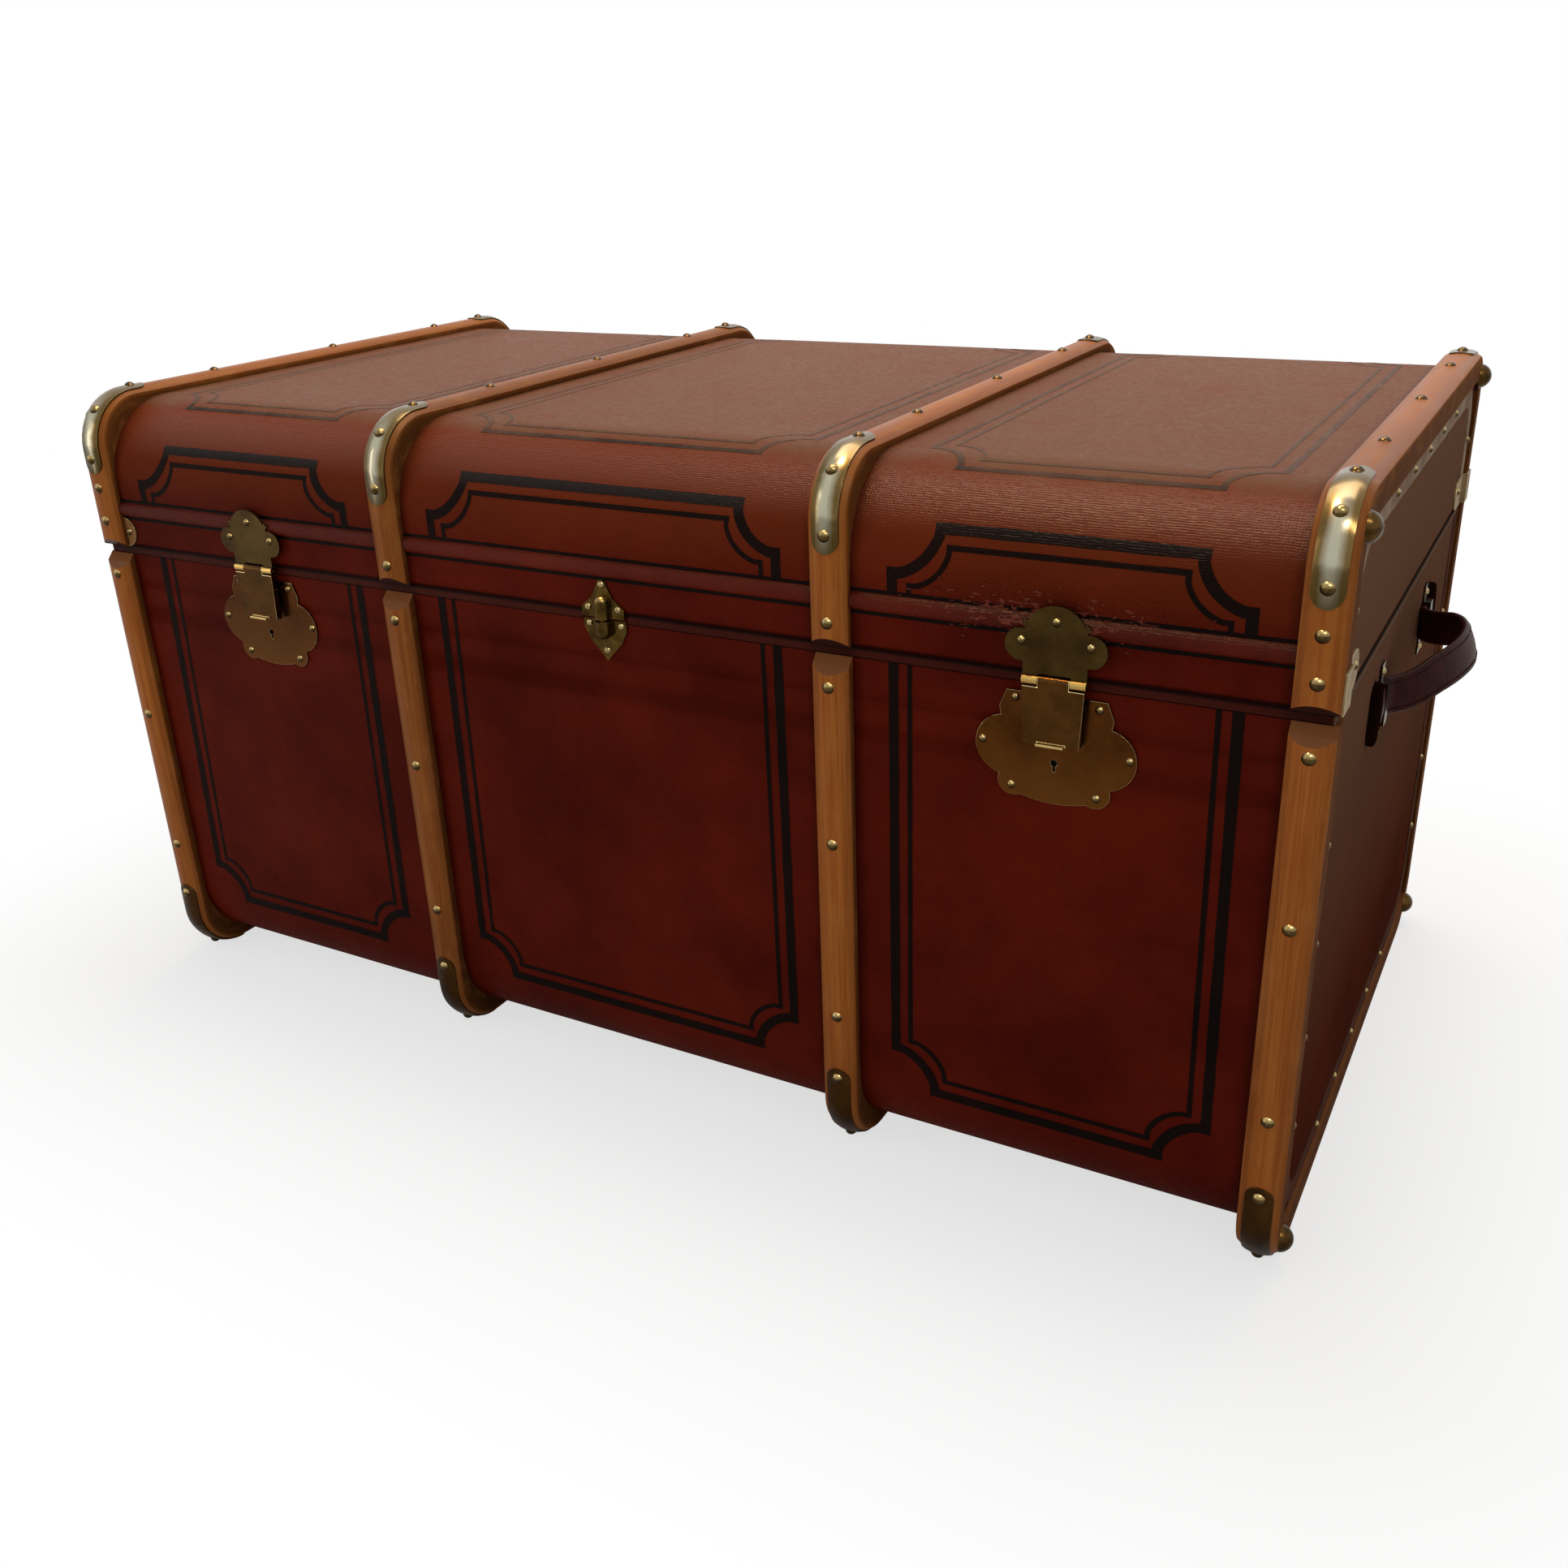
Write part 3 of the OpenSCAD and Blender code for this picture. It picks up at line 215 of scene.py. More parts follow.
def skin_tub(name, shell, end_x, finish, step, swell=0.0, turn_in=0.0, slots=(), flip=False):
    """A skin round a shell and over its two ends, with slots left open as (x, run) boxes.

    It swells by its lumps, and turn_in is how far it is folded over the shell's rim.
    """
    runs = spread(0, tub_length(shell), step, [r for s in slots for r in s[2:]])
    stations = spread(-end_x, end_x, step, [x for s in slots for x in s[:2]])
    points = []
    uvs = []
    faces = []
    for run in runs:
        for x in stations:
            y, z, out_y, out_z = tub_point(shell, run)
            lift = swell * lumps(x, run)
            points.append((x, y + out_y * lift, z + out_z * lift))
            uvs.append((x, run))
    wide = len(stations)
    for j in range(len(runs) - 1):
        for i in range(wide - 1):
            middle = (stations[i] + stations[i + 1]) / 2, (runs[j] + runs[j + 1]) / 2
            if not any(s[0] < middle[0] < s[1] and s[2] < middle[1] < s[3] for s in slots):
                faces.append((j * wide + i, j * wide + i + 1, (j + 1) * wide + i + 1,
                              (j + 1) * wide + i))
    # The fold over the rim, front and back
    if turn_in:
        for row, way in ((0, 1), (len(runs) - 1, -1)):
            start = len(points)
            for i, x in enumerate(stations):
                y, z = points[row * wide + i][1:]
                points.append((x, y + way * turn_in, z))
                uvs.append((x, runs[row] - way * turn_in))
            faces += [(start + i, start + i + 1, row * wide + i + 1, row * wide + i)
                      for i in range(wide - 1)]
    # Each end is one flat face, with its own fold
    for side in (-1, 1):
        start = len(points)
        for run in runs:
            y, z = tub_point(shell, run)[:2]
            points.append((side * end_x, y, z))
            uvs.append((y, z))
        faces.append(tuple(range(start, len(points))))
        if turn_in:
            rim = len(points)
            for y in (shell[0], shell[1]):
                for x in (end_x, end_x - turn_in):
                    points.append((side * x, y, shell[2]))
                    uvs.append((y, x))
            faces.append((rim, rim + 1, rim + 3, rim + 2))
    if flip:
        faces = [f[::-1] for f in faces]
    return make_piece(name, points, faces, finish, uvs)


def lumps(x, run):
    """Slow unevenness of glued cloth, from -1 to 1."""
    wide = noise.noise(Vector((x * 11, run * 17, 3.7)))
    small = noise.noise(Vector((x * 45, run * 70, 8.1)))
    return 0.7 * wide + 0.3 * small


def mixed(tree, share, under, over, blend="MIX"):
    """A share of one colour laid over another, as a socket."""
    under, over = [linear(c) if isinstance(c, str) else c for c in (under, over)]
    return add_node(tree, "Mix", {0: share, 6: under, 7: over}, data_type="RGBA",
                    blend_type=blend).outputs[2]


# The scale of a wave pattern with one wave to the metre
one_wave = 0.31416


def ticking_paper(name):
    """Pasted ticking paper: matt, with a thin stripe each 12 mm and a little foxing."""
    finish, tree, shader, place = new_finish(name, 0.85, Specular_IOR_Level=0.2)
    flat = add_node(tree, "TexCoord").outputs["UV"]
    stripe = add_node(tree, "TexWave", {0: flat, 1: one_wave / 0.012, 2: 0.0}, wave_type="BANDS",
                      bands_direction="X", wave_profile="SIN").outputs[1]
    thin = toned(tree, stripe, [(0.9, "#cdbb94"), (0.97, "#8d6f4c")])
    fox = toned(tree, clouds(tree, place, 14.0, 5.0), [(0.4, 1.0), (0.75, 0.72)])
    feed(tree, shader, Base_Color=mixed(tree, 1.0, thin, fox, "MULTIPLY"),
         Normal=bumped(tree, clouds(tree, place, 900.0), 0.3, 0.0002))
    return finish


ticking = ticking_paper("ticking_paper")
# Outer radius of the case's long edges, the wall with its canvas and paper, and the paper alone
edge_r = 0.064
wall_t = 0.0108
paper = 0.0008
for half in ("body", "lid"):
    low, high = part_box(half + "_lining")
    rim_z, floor_z = (high.z, low.z + paper) if half == "body" else (low.z, high.z - paper)
    inside = (low.y + paper, high.y - paper, rim_z, floor_z, edge_r - wall_t)
    lining = skin_tub(half + "_lining_paper", inside, high.x - paper, ticking, 0.03, flip=half == "body")
    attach(lining, "case" if half == "body" else "lid")
    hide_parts(half + "_lining")

# Painted canvas
# Linen canvas is glued over the boards and painted red-brown with oil paint, then varnished.
# The threads show through the paint, which has crackled. The top is washed out: the bend is
# sun-faded and also painted lighter as painted light, and the roof is dusty.

# The middles of the hoops and of the locks, and half the width of a hoop
hoop_x = [sum(c.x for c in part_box("lid_slat_%d" % i)) / 2 for i in (1, 2, 3, 4)]
lock_x = [sum(c.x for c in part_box(name)) / 2 for name in ("hasp_left", "hasp_right")]
hoop_half = 0.0135
# Where the bead was knocked, the height of the seam's painted shade, and the ends' dust and painted
# sheen
scuff_place = (lock_x[1] - 0.012, -0.275, 0.4385)
seam_shade_z = 0.403
end_dust_and_sheen = "#8d6c55"


def calc(tree, operation, *values):
    """A step of reckoning in a shader, as a socket."""
    return add_node(tree, "Math", dict(enumerate(values)), operation=operation).outputs[0]


def scaled(tree, value, low, high, start=0.0, end=1.0):
    """A value taken from low to high, made to run from start to end, as a socket."""
    return add_node(tree, "MapRange", {0: value, 1: low, 2: high, 3: start, 4: end}).outputs[0]


def length_of(tree, vector):
    """The length of a vector in a shader, as a socket."""
    return add_node(tree, "VectorMath", {0: vector}, operation="LENGTH").outputs[1]


def from_hoops(tree, x):
    """How far a place along the trunk is from the middle of the nearest hoop."""
    near = 1.0
    for middle in hoop_x:
        away = calc(tree, "ABSOLUTE", calc(tree, "SUBTRACT", x, middle))
        near = calc(tree, "MINIMUM", away, near)
    return near


def painted_canvas(name, deep, worn, lighter_tone, dusty, shine, unrolled=True):
    """Oil paint on linen: satin, with thread relief, short cracks, rubbed and dusty places.

    Its colours are deep, worn, a lighter tone on the bend, sun-faded there and also painted light,
    and dusty on the roof. Shine is the varnish's, and a piece that isn't unrolled has no UVs for its
    threads.
    """
    finish, tree, shader, place = new_finish(name, 0.4)
    x, y, z = add_node(tree, "SeparateXYZ", {0: place}).outputs
    if unrolled:
        flat = add_node(tree, "TexCoord").outputs["UV"]
    else:
        flat = add_node(tree, "CombineXYZ", {0: x, 1: z}).outputs[0]
    # Threads of the linen are 0.8 mm apart; they are drawn at 1.7 mm, as coarse as they show
    weft = add_node(tree, "TexWave", {0: flat, 1: one_wave / 0.0017, 2: 3.5, 3: 3.0, 4: 0.6},
                    bands_direction="Y").outputs[1]
    warp = add_node(tree, "TexWave", {0: flat, 1: one_wave / 0.0021, 2: 2.5, 3: 3.0, 4: 0.6},
                    bands_direction="X").outputs[1]
    # Cracks are about 9 mm long across the front and 2.5 mm apart
    crack = add_node(tree, "TexVoronoi", {0: stretched(tree, flat, (110, 400, 1)), 2: 1.0},
                     feature="DISTANCE_TO_EDGE").outputs[0]
    gap = toned(tree, crack, [(0.0, 0.0), (0.09, 1.0)])
    lump = clouds(tree, place, 260.0, 5.0, 0.65)
    relief = calc(tree, "MULTIPLY_ADD", weft, 0.5, lump)
    relief = calc(tree, "MULTIPLY_ADD", warp, 0.2, relief)
    relief = calc(tree, "MULTIPLY_ADD", gap, 0.35, relief)
    # Rubbed places are about 90 mm across, with a finer grain of 12 mm in them
    rub = toned(tree, clouds(tree, place, 9.0, 6.0, 0.62), [(0.38, 0.0), (0.72, 1.0)])
    colour = mixed(tree, rub, deep, worn)
    # The lid's upper bend is lighter and more orange: sun-faded, and also painted light from above
    colour = mixed(tree, scaled(tree, z, 0.435, 0.514, 0.0, 0.9), colour, lighter_tone)
    # Dust lies on the roof of the lid, in clouds, and thins out where the bend starts
    cloud = clouds(tree, place, 22.0, 7.0, 0.6)
    edge = calc(tree, "MULTIPLY_ADD", cloud, 0.012, z)
    dust = calc(tree, "MULTIPLY", scaled(tree, edge, 0.519, 0.526),
                toned(tree, cloud, [(0.3, 0.6), (0.7, 1.0)]))
    colour = mixed(tree, dust, colour, dusty)
    # The ends, 510 mm off the middle, are dry and matt, and grey towards the top: dust, and a painted
    # sheen of light glancing off them
    at_end = scaled(tree, calc(tree, "ABSOLUTE", x), 0.5095, 0.5099)
    grey = calc(tree, "MULTIPLY", scaled(tree, z, 0.1, 0.5, 0.12, 0.8), at_end)
    colour = mixed(tree, grey, colour, end_dust_and_sheen)
    # The paint is darker within 8 mm of the hoops, and a painted shade line of 2 mm runs in the seam's
    # gap
    edge_darkening = scaled(tree, from_hoops(tree, x), hoop_half, 0.022, 0.62, 1.0)
    seam_shade = calc(tree, "ABSOLUTE", calc(tree, "SUBTRACT", z, seam_shade_z))
    seam_shade = scaled(tree, seam_shade, 0.0012, 0.003, 0.2, 1.0)
    # Chips by the right lock, 90 mm wide and 20 mm high, where the bead was knocked
    from_chips = add_node(tree, "VectorMath", {0: place, 1: scuff_place}, operation="SUBTRACT")
    from_chips = add_node(tree, "VectorMath", {0: from_chips.outputs[0], 1: (10.5, 30.0, 48.0)},
                          operation="MULTIPLY").outputs[0]
    chip = clouds(tree, stretched(tree, place, (170, 300, 420)), 1.0, 4.0, 0.6)
    chip = calc(tree, "MULTIPLY_ADD", length_of(tree, from_chips), -0.17, chip)
    for shade in (edge_darkening, seam_shade, toned(tree, chip, [(0.42, 1.0), (0.475, 0.4)])):
        colour = mixed(tree, 1.0, colour, shade, "MULTIPLY")
    colour = mixed(tree, toned(tree, chip, [(0.475, 0.0), (0.5, 0.8)]), colour, "#773829")
    gloss = scaled(tree, lump, 0.3, 0.7, 0.3, 0.48)
    # The varnish is thickest on the bend, and the threads glint there
    glint = toned(tree, z, [(0.482, 0.0), (0.498, 1.0), (0.507, 1.0), (0.516, 0.0)])
    feed(tree, shader, Base_Color=colour, Normal=bumped(tree, relief, 0.65, 0.0005),
         Roughness=calc(tree, "MULTIPLY_ADD", at_end, 0.6, gloss),
         Specular_IOR_Level=calc(tree, "MULTIPLY_ADD", glint, 5 * shine, shine))
    return finish


red_canvas = painted_canvas("oil_painted_linen", "#480d04", "#5f1808", "#783416", "#724b33", 0.022)
end_canvas = painted_canvas("dull_end_linen", "#490f05", "#60190a", "#76391d", "#744e37", 0.0)
# Thickness of the cloth, its unevenness, and the slots for the staple and the keyhole: half the
# width and the runs below the rim where each starts and ends
cloth_t = 0.001
swell = 0.00022
staple_slot = (0.0065, 0.0, 0.0356)
key_slot = (0.0024, 0.0561, 0.0645)
shells = {}
for half, body in (("body", "case"), ("lid", "lid")):
    low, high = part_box(half + "_canvas")
    rim_z, floor_z = (high.z, low.z) if half == "body" else (low.z, high.z)
    shells[half] = (low.y, high.y, rim_z, floor_z, edge_r)
    slots = [(x - wide, x + wide, start, end) for x in lock_x
             for wide, start, end in (staple_slot, key_slot) if half == "body"]
    canvas = skin_tub(half + "_linen", shells[half], high.x, red_canvas, 0.008, swell, cloth_t,
                      slots, flip=half == "lid")
    canvas.data.materials.append(end_canvas)
    for face in canvas.data.polygons:
        face.material_index = int(abs(face.normal.x) > 0.9)
    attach(canvas, body)
    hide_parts(half + "_canvas")

# Bead, rim strip and hasp packings
# The bead is a half-round beech moulding, the strip round the rim is thin beech, and both are
# pinned on and painted over. The packings behind the hasp plates are painted with them.

red_bead = painted_canvas("oil_painted_beech", "#4c1005", "#661d0a", "#76391d", "#744e37", 0.08,
                          unrolled=False)
dark_rim = painted_canvas("painted_rim_beech", "#380f08", "#481a0e", "#481a0e", "#481a0e", 0.04,
                          unrolled=False)
black_line = painted_canvas("black_line_paint", "#0d0605", "#1b0c08", "#1b0c08", "#644532", 0.03)
dress("lid_bead", red_bead)
dress("hasp_packings", red_bead, red_bead, 0.0004)
# The strip's sharp edges get the black paint, as painted shade of the gap at the seam
dress("rim_strip", dark_rim, black_line, 0.0007)

# Painted frames
# A black double line with notched corners is painted round each bay, front, back and top, and a
# thin line runs along both sides of the bead. The lines are brushed on by hand and a little worn.

# Distance of a line's stations, the step of a notched corner, and the paint's height on the cloth
line_step = 0.005
notch_step = 0.005
paint_t = 0.00015


def thick_line(points, width, closed):
    """The two edges of a line of that width through (x, run) points, with mitred corners."""
    count = len(points)
    left = []
    right = []
    for i, p in enumerate(points):
        before = points[i - 1] if i or closed else p
        after = points[(i + 1) % count] if i + 1 < count or closed else p
        come = (Vector(p) - Vector(before)).normalized()
        go = (Vector(after) - Vector(p)).normalized()
        along = (come + go).normalized() if come.length and go.length else come + go
        across = Vector((-along.y, along.x))
        square = Vector((-go.y, go.x)) if go.length else across
        reach = width / 2 / max(0.6, across.dot(square))
        # The brush makes the line wider and thinner by up to an eighth
        reach *= 1 + 0.12 * noise.noise(Vector((p[0] * 60, p[1] * 60, width * 1000)))
        left.append(Vector(p) + across * reach)
        right.append(Vector(p) - across * reach)
    return left, right


def lay_line(shell, points, width, closed, out):
    """Adds a painted line to out, a dict of points, uvs and faces, on a shell's canvas."""
    fine = []
    ends = points[1:] + points[:1] if closed else points[1:]
    for a, b in zip(points, ends):
        steps = max(1, round(math.dist(a, b) / line_step))
        fine += [(a[0] + (b[0] - a[0]) * k / steps, a[1] + (b[1] - a[1]) * k / steps)
                 for k in range(steps)]
    if not closed:
        fine.append(points[-1])
    start = len(out["points"])
    for pair in zip(*thick_line(fine, width, closed)):
        for x, run in pair:
            y, z, out_y, out_z = tub_point(shell, run)
            rise = swell * lumps(x, run) + paint_t
            out["points"].append((x, y + out_y * rise, z + out_z * rise))
            out["uvs"].append((x, run))
    count = len(fine)
    for i in range(count if closed else count - 1):
        a = start + 2 * i
        b = start + 2 * ((i + 1) % count)
        out["faces"].append((a, a + 1, b + 1, b))


def corner(at, x_way, run_way, size):
    """Points of a notched corner: a step, a shallow hollow, and a step."""
    x, run = at
    r = size - notch_step
    arc = []
    # The hollow lies between a quarter of a circle and its chord
    for k in range(9):
        aside = 0.62 * math.sin(math.pi / 16 * k) + 0.38 * k / 8
        along = 0.62 * math.cos(math.pi / 16 * k) + 0.38 * (1 - k / 8)
        arc.append((x - x_way * (notch_step + r * aside), run - run_way * (notch_step + r * along)))
    return [(x, run - run_way * size)] + arc + [(x - x_way * size, run)]


def open_frame(low_x, high_x, mouth, top, size, lean=(0.0, 0.0)):
    """A frame with two notched corners at run top and its mouth open at run mouth."""
    way = 1 if top > mouth else -1
    left = corner((low_x, top), -1, way, size)
    right = corner((high_x, top), 1, way, size)
    return [(low_x + lean[0], mouth)] + left + right[::-1] + [(high_x + lean[1], mouth)]


def closed_frame(low_x, high_x, low, high, size):
    """A frame with four notched corners."""
    return (corner((low_x, high), -1, 1, size) + corner((high_x, high), 1, 1, size)[::-1]
            + corner((high_x, low), 1, -1, size) + corner((low_x, low), -1, -1, size)[::-1])


lid_run = tub_length(shells["lid"])
body_run = tub_length(shells["body"])
# Each frame was ruled by hand, so its place, its height and the lean of its sides differ a little
bays = [(-0.459, -0.227), (-0.145, 0.155), (0.233, 0.463)]
lean = [(0.010, 0.004), (0.003, -0.002), (0.0, -0.003)]
lid_rise = [0.0, 0.002, -0.002]
body_shift = [0.0035, 0.0035, 0.0]
lid_lines, roof_lines, body_lines = [{"points": [], "uvs": [], "faces": []} for i in range(3)]
# Width, inset and notch of the outer and the inner line of a frame. The roof's frames start at a
# run of their own, and are narrower by 2 mm on the left and 5 mm on the right.
wide_and_thin = ((0.0072, 0.003, 0.0305), (0.0036, 0.0145, 0.0265))
roof_pair = ((0.0042, 0.0, 0.029), (0.0026, 0.0115, 0.029))
roof_run = 0.129
for i, (low_x, high_x) in enumerate(bays):
    for width, inset, size in wide_and_thin:
        for back in (False, True):
            lid_mouth, lid_top = 0.0385, 0.0885 + lid_rise[i] - inset
            body_mouth, body_low = 0.006, 0.3355 - inset
            if back:
                lid_mouth, lid_top = lid_run - lid_mouth, lid_run - lid_top
                body_mouth, body_low = body_run - body_mouth, body_run - body_low
            lay_line(shells["lid"], open_frame(low_x + inset, high_x - inset, lid_mouth, lid_top, size),
                     width, False, lid_lines)
            lay_line(shells["body"], open_frame(low_x + inset - body_shift[i], high_x - inset,
                                                body_mouth, body_low, size, lean[i]),
                     width, False, body_lines)
    for width, inset, size in roof_pair:
        run = roof_run + inset
        lay_line(shells["lid"], closed_frame(low_x + 0.002 + inset, high_x - 0.005 - inset,
                                             run, lid_run - run, size),
                 width, True, roof_lines)
# Runs of the bead's two sides, and the width of the lines along them
bead_sides = (0.0243, 0.0392)
bead_line = 0.0026
for i in range(3):
    low_x, high_x = hoop_x[i] + hoop_half, hoop_x[i + 1] - hoop_half
    for run in bead_sides:
        for at in (run, lid_run - run):
            lay_line(shells["lid"], [(low_x, at), (high_x, at)], bead_line, False, lid_lines)
for name, lines, body in (("lid_lines", lid_lines, "lid"), ("roof_lines", roof_lines, "lid"),
                          ("body_lines", body_lines, "case")):
    painted = make_piece(name, lines["points"], lines["faces"], black_line, lines["uvs"])
    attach(painted, body)

# Bentwood hoops
# Each hoop is a half-round ash lath, steamed, bent round the case, nailed on and sawn at the seam.
# It is varnished honey brown, rubbed pale in patches, and painted lighter along the crown and darker
# down the sides as painted shade of the round, with old stain by the canvas too.


def bent_ash(name, bend_z, way, lighter_tone, sawn):
    """Varnished ash: long grain that follows the bends, pores, edges with painted shade and a clear
    gloss.
    """
    finish, tree, shader, place = new_finish(name, 0.34, Specular_IOR_Level=0.08)
    x, y, z = add_node(tree, "SeparateXYZ", {0: place}).outputs
    # The lath's crown bends on a radius of 46 mm about a line 237 mm off the middle
    bend_r = 0.046
    out_y = calc(tree, "SUBTRACT", calc(tree, "ABSOLUTE", y), 0.237)
    out_z = calc(tree, "MULTIPLY_ADD", z, way, -way * bend_z)
    top_y = calc(tree, "MAXIMUM", out_y, 0.0)
    top_z = calc(tree, "MAXIMUM", out_z, 0.0)
    from_bend = add_node(tree, "CombineXYZ", {0: top_y, 1: top_z}).outputs[0]
    depth = calc(tree, "SUBTRACT", bend_r, length_of(tree, from_bend))
    angle = calc(tree, "ARCTAN2", top_z, top_y)
    along = calc(tree, "MULTIPLY_ADD", angle, bend_r, calc(tree, "MINIMUM", out_z, 0.0))
    along = calc(tree, "SUBTRACT", along, calc(tree, "MINIMUM", out_y, 0.0))
    lath = add_node(tree, "CombineXYZ", {0: x, 1: along, 2: depth}).outputs[0]
    # Growth rings are about 3 mm apart and run almost true for 150 mm
    ring = clouds(tree, stretched(tree, lath, (330, 6.5, 240)), 1.0, 3.0, 0.55, 0.8)
    # Pores of ash are 0.3 mm wide and drawn out to 12 mm
    pore = clouds(tree, stretched(tree, lath, (1800, 70, 1500)), 1.0)
    tone = calc(tree, "MULTIPLY_ADD", pore, 0.35, ring)
    colour = toned(tree, tone, [(0.45, "#8e4a17"), (0.62, "#9b551e"), (0.82, "#a96427")])
    # The section falls 4.6 mm from the crown to the edge; the sides are painted darker, as painted shade
    # of the round and as old stain
    edge_darkening = toned(tree, depth, [(0.0, 1.0), (0.0018, 0.95), (0.0044, 0.74), (0.0054, 0.5),
                               (0.0085, 0.3)])
    # The laths differ a little, and each is darker here and there for 150 mm
    stain = scaled(tree, clouds(tree, place, 4.5, 3.0), 0.35, 0.65, 0.84, 1.04)
    # The second lath is the darkest, and all are darker near the floor
    second = calc(tree, "ABSOLUTE", calc(tree, "SUBTRACT", x, hoop_x[1]))
    second = scaled(tree, second, 0.02, 0.03, 0.74, 1.0)
    low = scaled(tree, z, 0.05, 0.28, 0.82, 1.0)
    for shade in (edge_darkening, stain, second, low):
        colour = mixed(tree, 1.0, colour, shade, "MULTIPLY")
    # Hands and straps have rubbed the varnish in patches about 30 mm long
    rub = clouds(tree, stretched(tree, lath, (60, 28, 60)), 1.0, 5.0, 0.6)
    colour = mixed(tree, toned(tree, rub, [(0.5, 0.0), (0.85, 0.4)]), colour, lighter_tone)
    # The sawn ends face the seam, and show end grain
    facing = add_node(tree, "SeparateXYZ", {0: add_node(tree, "TexCoord").outputs["Normal"]})
    end_cut = scaled(tree, calc(tree, "MULTIPLY", facing.outputs[2], -way), 0.45, 0.6)
    gloss = scaled(tree, ring, 0.3, 0.7, 0.28, 0.45)
    bare = scaled(tree, depth, 0.0044, 0.0054)
    feed(tree, shader, Base_Color=mixed(tree, end_cut, colour, sawn),
         Roughness=calc(tree, "MULTIPLY_ADD", bare, 0.6, gloss),
         Normal=bumped(tree, tone, 0.2, 0.0002))
    return finish


lid_ash = bent_ash("bent_ash_of_the_lid", 0.484, 1, "#ae7438", "#2c1310")
body_ash = bent_ash("bent_ash_of_the_body", 0.045, -1, "#a86c38", "#7e4d2c")
for i in (1, 2, 3, 4):
    dress("lid_slat_%d" % i, lid_ash, lid_ash, 0.0006)
    dress("body_slat_%d" % i, body_ash, body_ash, 0.0006)

# Brass caps
# Pressed brass sheet, 1.2 mm thick, sits over both bends of every hoop and is nailed down.
# The crown is rubbed bright and painted bright as a reflection; low ends, roof parts and sides are
# painted darker as reflection, and brown patina stays along the edges and on the lower caps.


def old_brass(name, bright, dull, share, roughness, fleck=70.0, crown=None, fades=()):
    """Brass gone brown in the air: clouds of patina, a crown rubbed bright and painted as a reflection,
    and other fades.

    A fade is an axis, where along it the fade starts and ends, and its colour. Axes 0 to 2 are
    of the place, and 3 to 5 are of the way the surface faces.
    """
    finish, tree, shader, place = new_finish(name, roughness, Metallic=1.0)
    # A fleck of 70 makes clouds of patina about 14 mm across, with specks below 1 mm
    cloud = clouds(tree, place, fleck, 8.0, 0.66)
    patina = toned(tree, cloud, [(max(0.0, share - 0.16), 0.0), (min(1.0, share + 0.16), 1.0)])
    colour = mixed(tree, patina, bright, dull)
    facing = add_node(tree, "TexCoord").outputs["Normal"]
    axes = [axis for way in (place, facing)
            for axis in add_node(tree, "SeparateXYZ", {0: way}).outputs]
    if crown:
        # The crown's brightness is rubbed wear and a painted reflection along the middle of each hoop
        across = calc(tree, "MULTIPLY_ADD", cloud, 0.006, from_hoops(tree, axes[0]))
        colour = mixed(tree, scaled(tree, across, 0.0045, 0.0095, 1.0, 0.0), colour, crown)
    for axis, start, end, tint in fades:
        colour = mixed(tree, scaled(tree, axes[axis], start, end, 0.0, 0.9), colour, tint)
    feed(tree, shader, Base_Color=colour,
         Roughness=scaled(tree, cloud, 0.3, 0.7, roughness - 0.08, roughness + 0.12),
         Normal=bumped(tree, clouds(tree, place, 1500.0), 0.12, 0.0001))
    return finish


# The caps' fades are painted reflection: darker at the low end of the bend, on the roof part and on the
# sides
cap_brass = old_brass("cap_brass_rubbed_and_painted_lit", "#6c5834", "#4b3a1c", 0.55, 0.2, 40.0, "#aaa690",
                      [(2, 0.490, 0.466, "#4c3d1c"), (2, 0.514, 0.528, "#74603e"),
                       (3, 0.55, 0.9, "#4a3b1e"), (3, -0.55, -0.9, "#4a3b1e")])
low_cap_brass = old_brass("brown_cap_brass", "#523617", "#33200d", 0.5, 0.3, 40.0)
# Bevelled edges are worn bright, and their brightness is also a painted highlight of the edges
rim_brass = old_brass("bright_brass_edge", "#d6c28c", "#94794a", 0.6, 0.24)
dress("lid_slat_caps", cap_brass, rim_brass, 0.0004)
dress("body_slat_caps", low_cap_brass, rim_brass)

# Dome nails and corner studs
# Brass-headed nails hold the hoops and caps, and big dome studs guard the corners of the end hoops.
# The nails are painted bright on their upper sides and brown below, as painted highlight and shade,
# and are dull on the roof.

# Faces turned up get a painted highlight, faces turned down a painted shade
nail_brass = old_brass("nail_brass_painted_lit_and_shaded", "#5e4c2b", "#352614", 0.55, 0.2, 160.0,
                       fades=[(5, 0.1, 0.75, "#b8a06a"), (5, -0.1, -0.75, "#2a1e10"),
                              (2, 0.515, 0.523, "#3a281a")])
bright_nails = old_brass("bright_nail_brass", "#a6946a", "#6b5733", 0.6, 0.2, 160.0)
stud_brass = old_brass("brown_stud_brass", "#5c4523", "#33220f", 0.48, 0.26)
for name in ("lid_slat_nails", "body_slat_nails", "lid_binding_nails", "body_binding_nails",
             "corner_plate_nails", "hasp_plate_nails", "lock_plate_nails", "hinge_lid_nails",
             "hinge_body_nails"):
    dress(name, nail_brass)
for name in ("handle_nails", "clasp_nails_upper", "clasp_nails_lower"):
    dress(name, bright_nails)
dress("lid_corner_studs", stud_brass)
dress("body_corner_studs", stud_brass)

# Bindings of the ends
# A strip of thin leather 16 mm wide is glued along the edge of each end board and nailed.
# It is grey-buff on the lid and brown on the body, with rounded edges that wander a little.


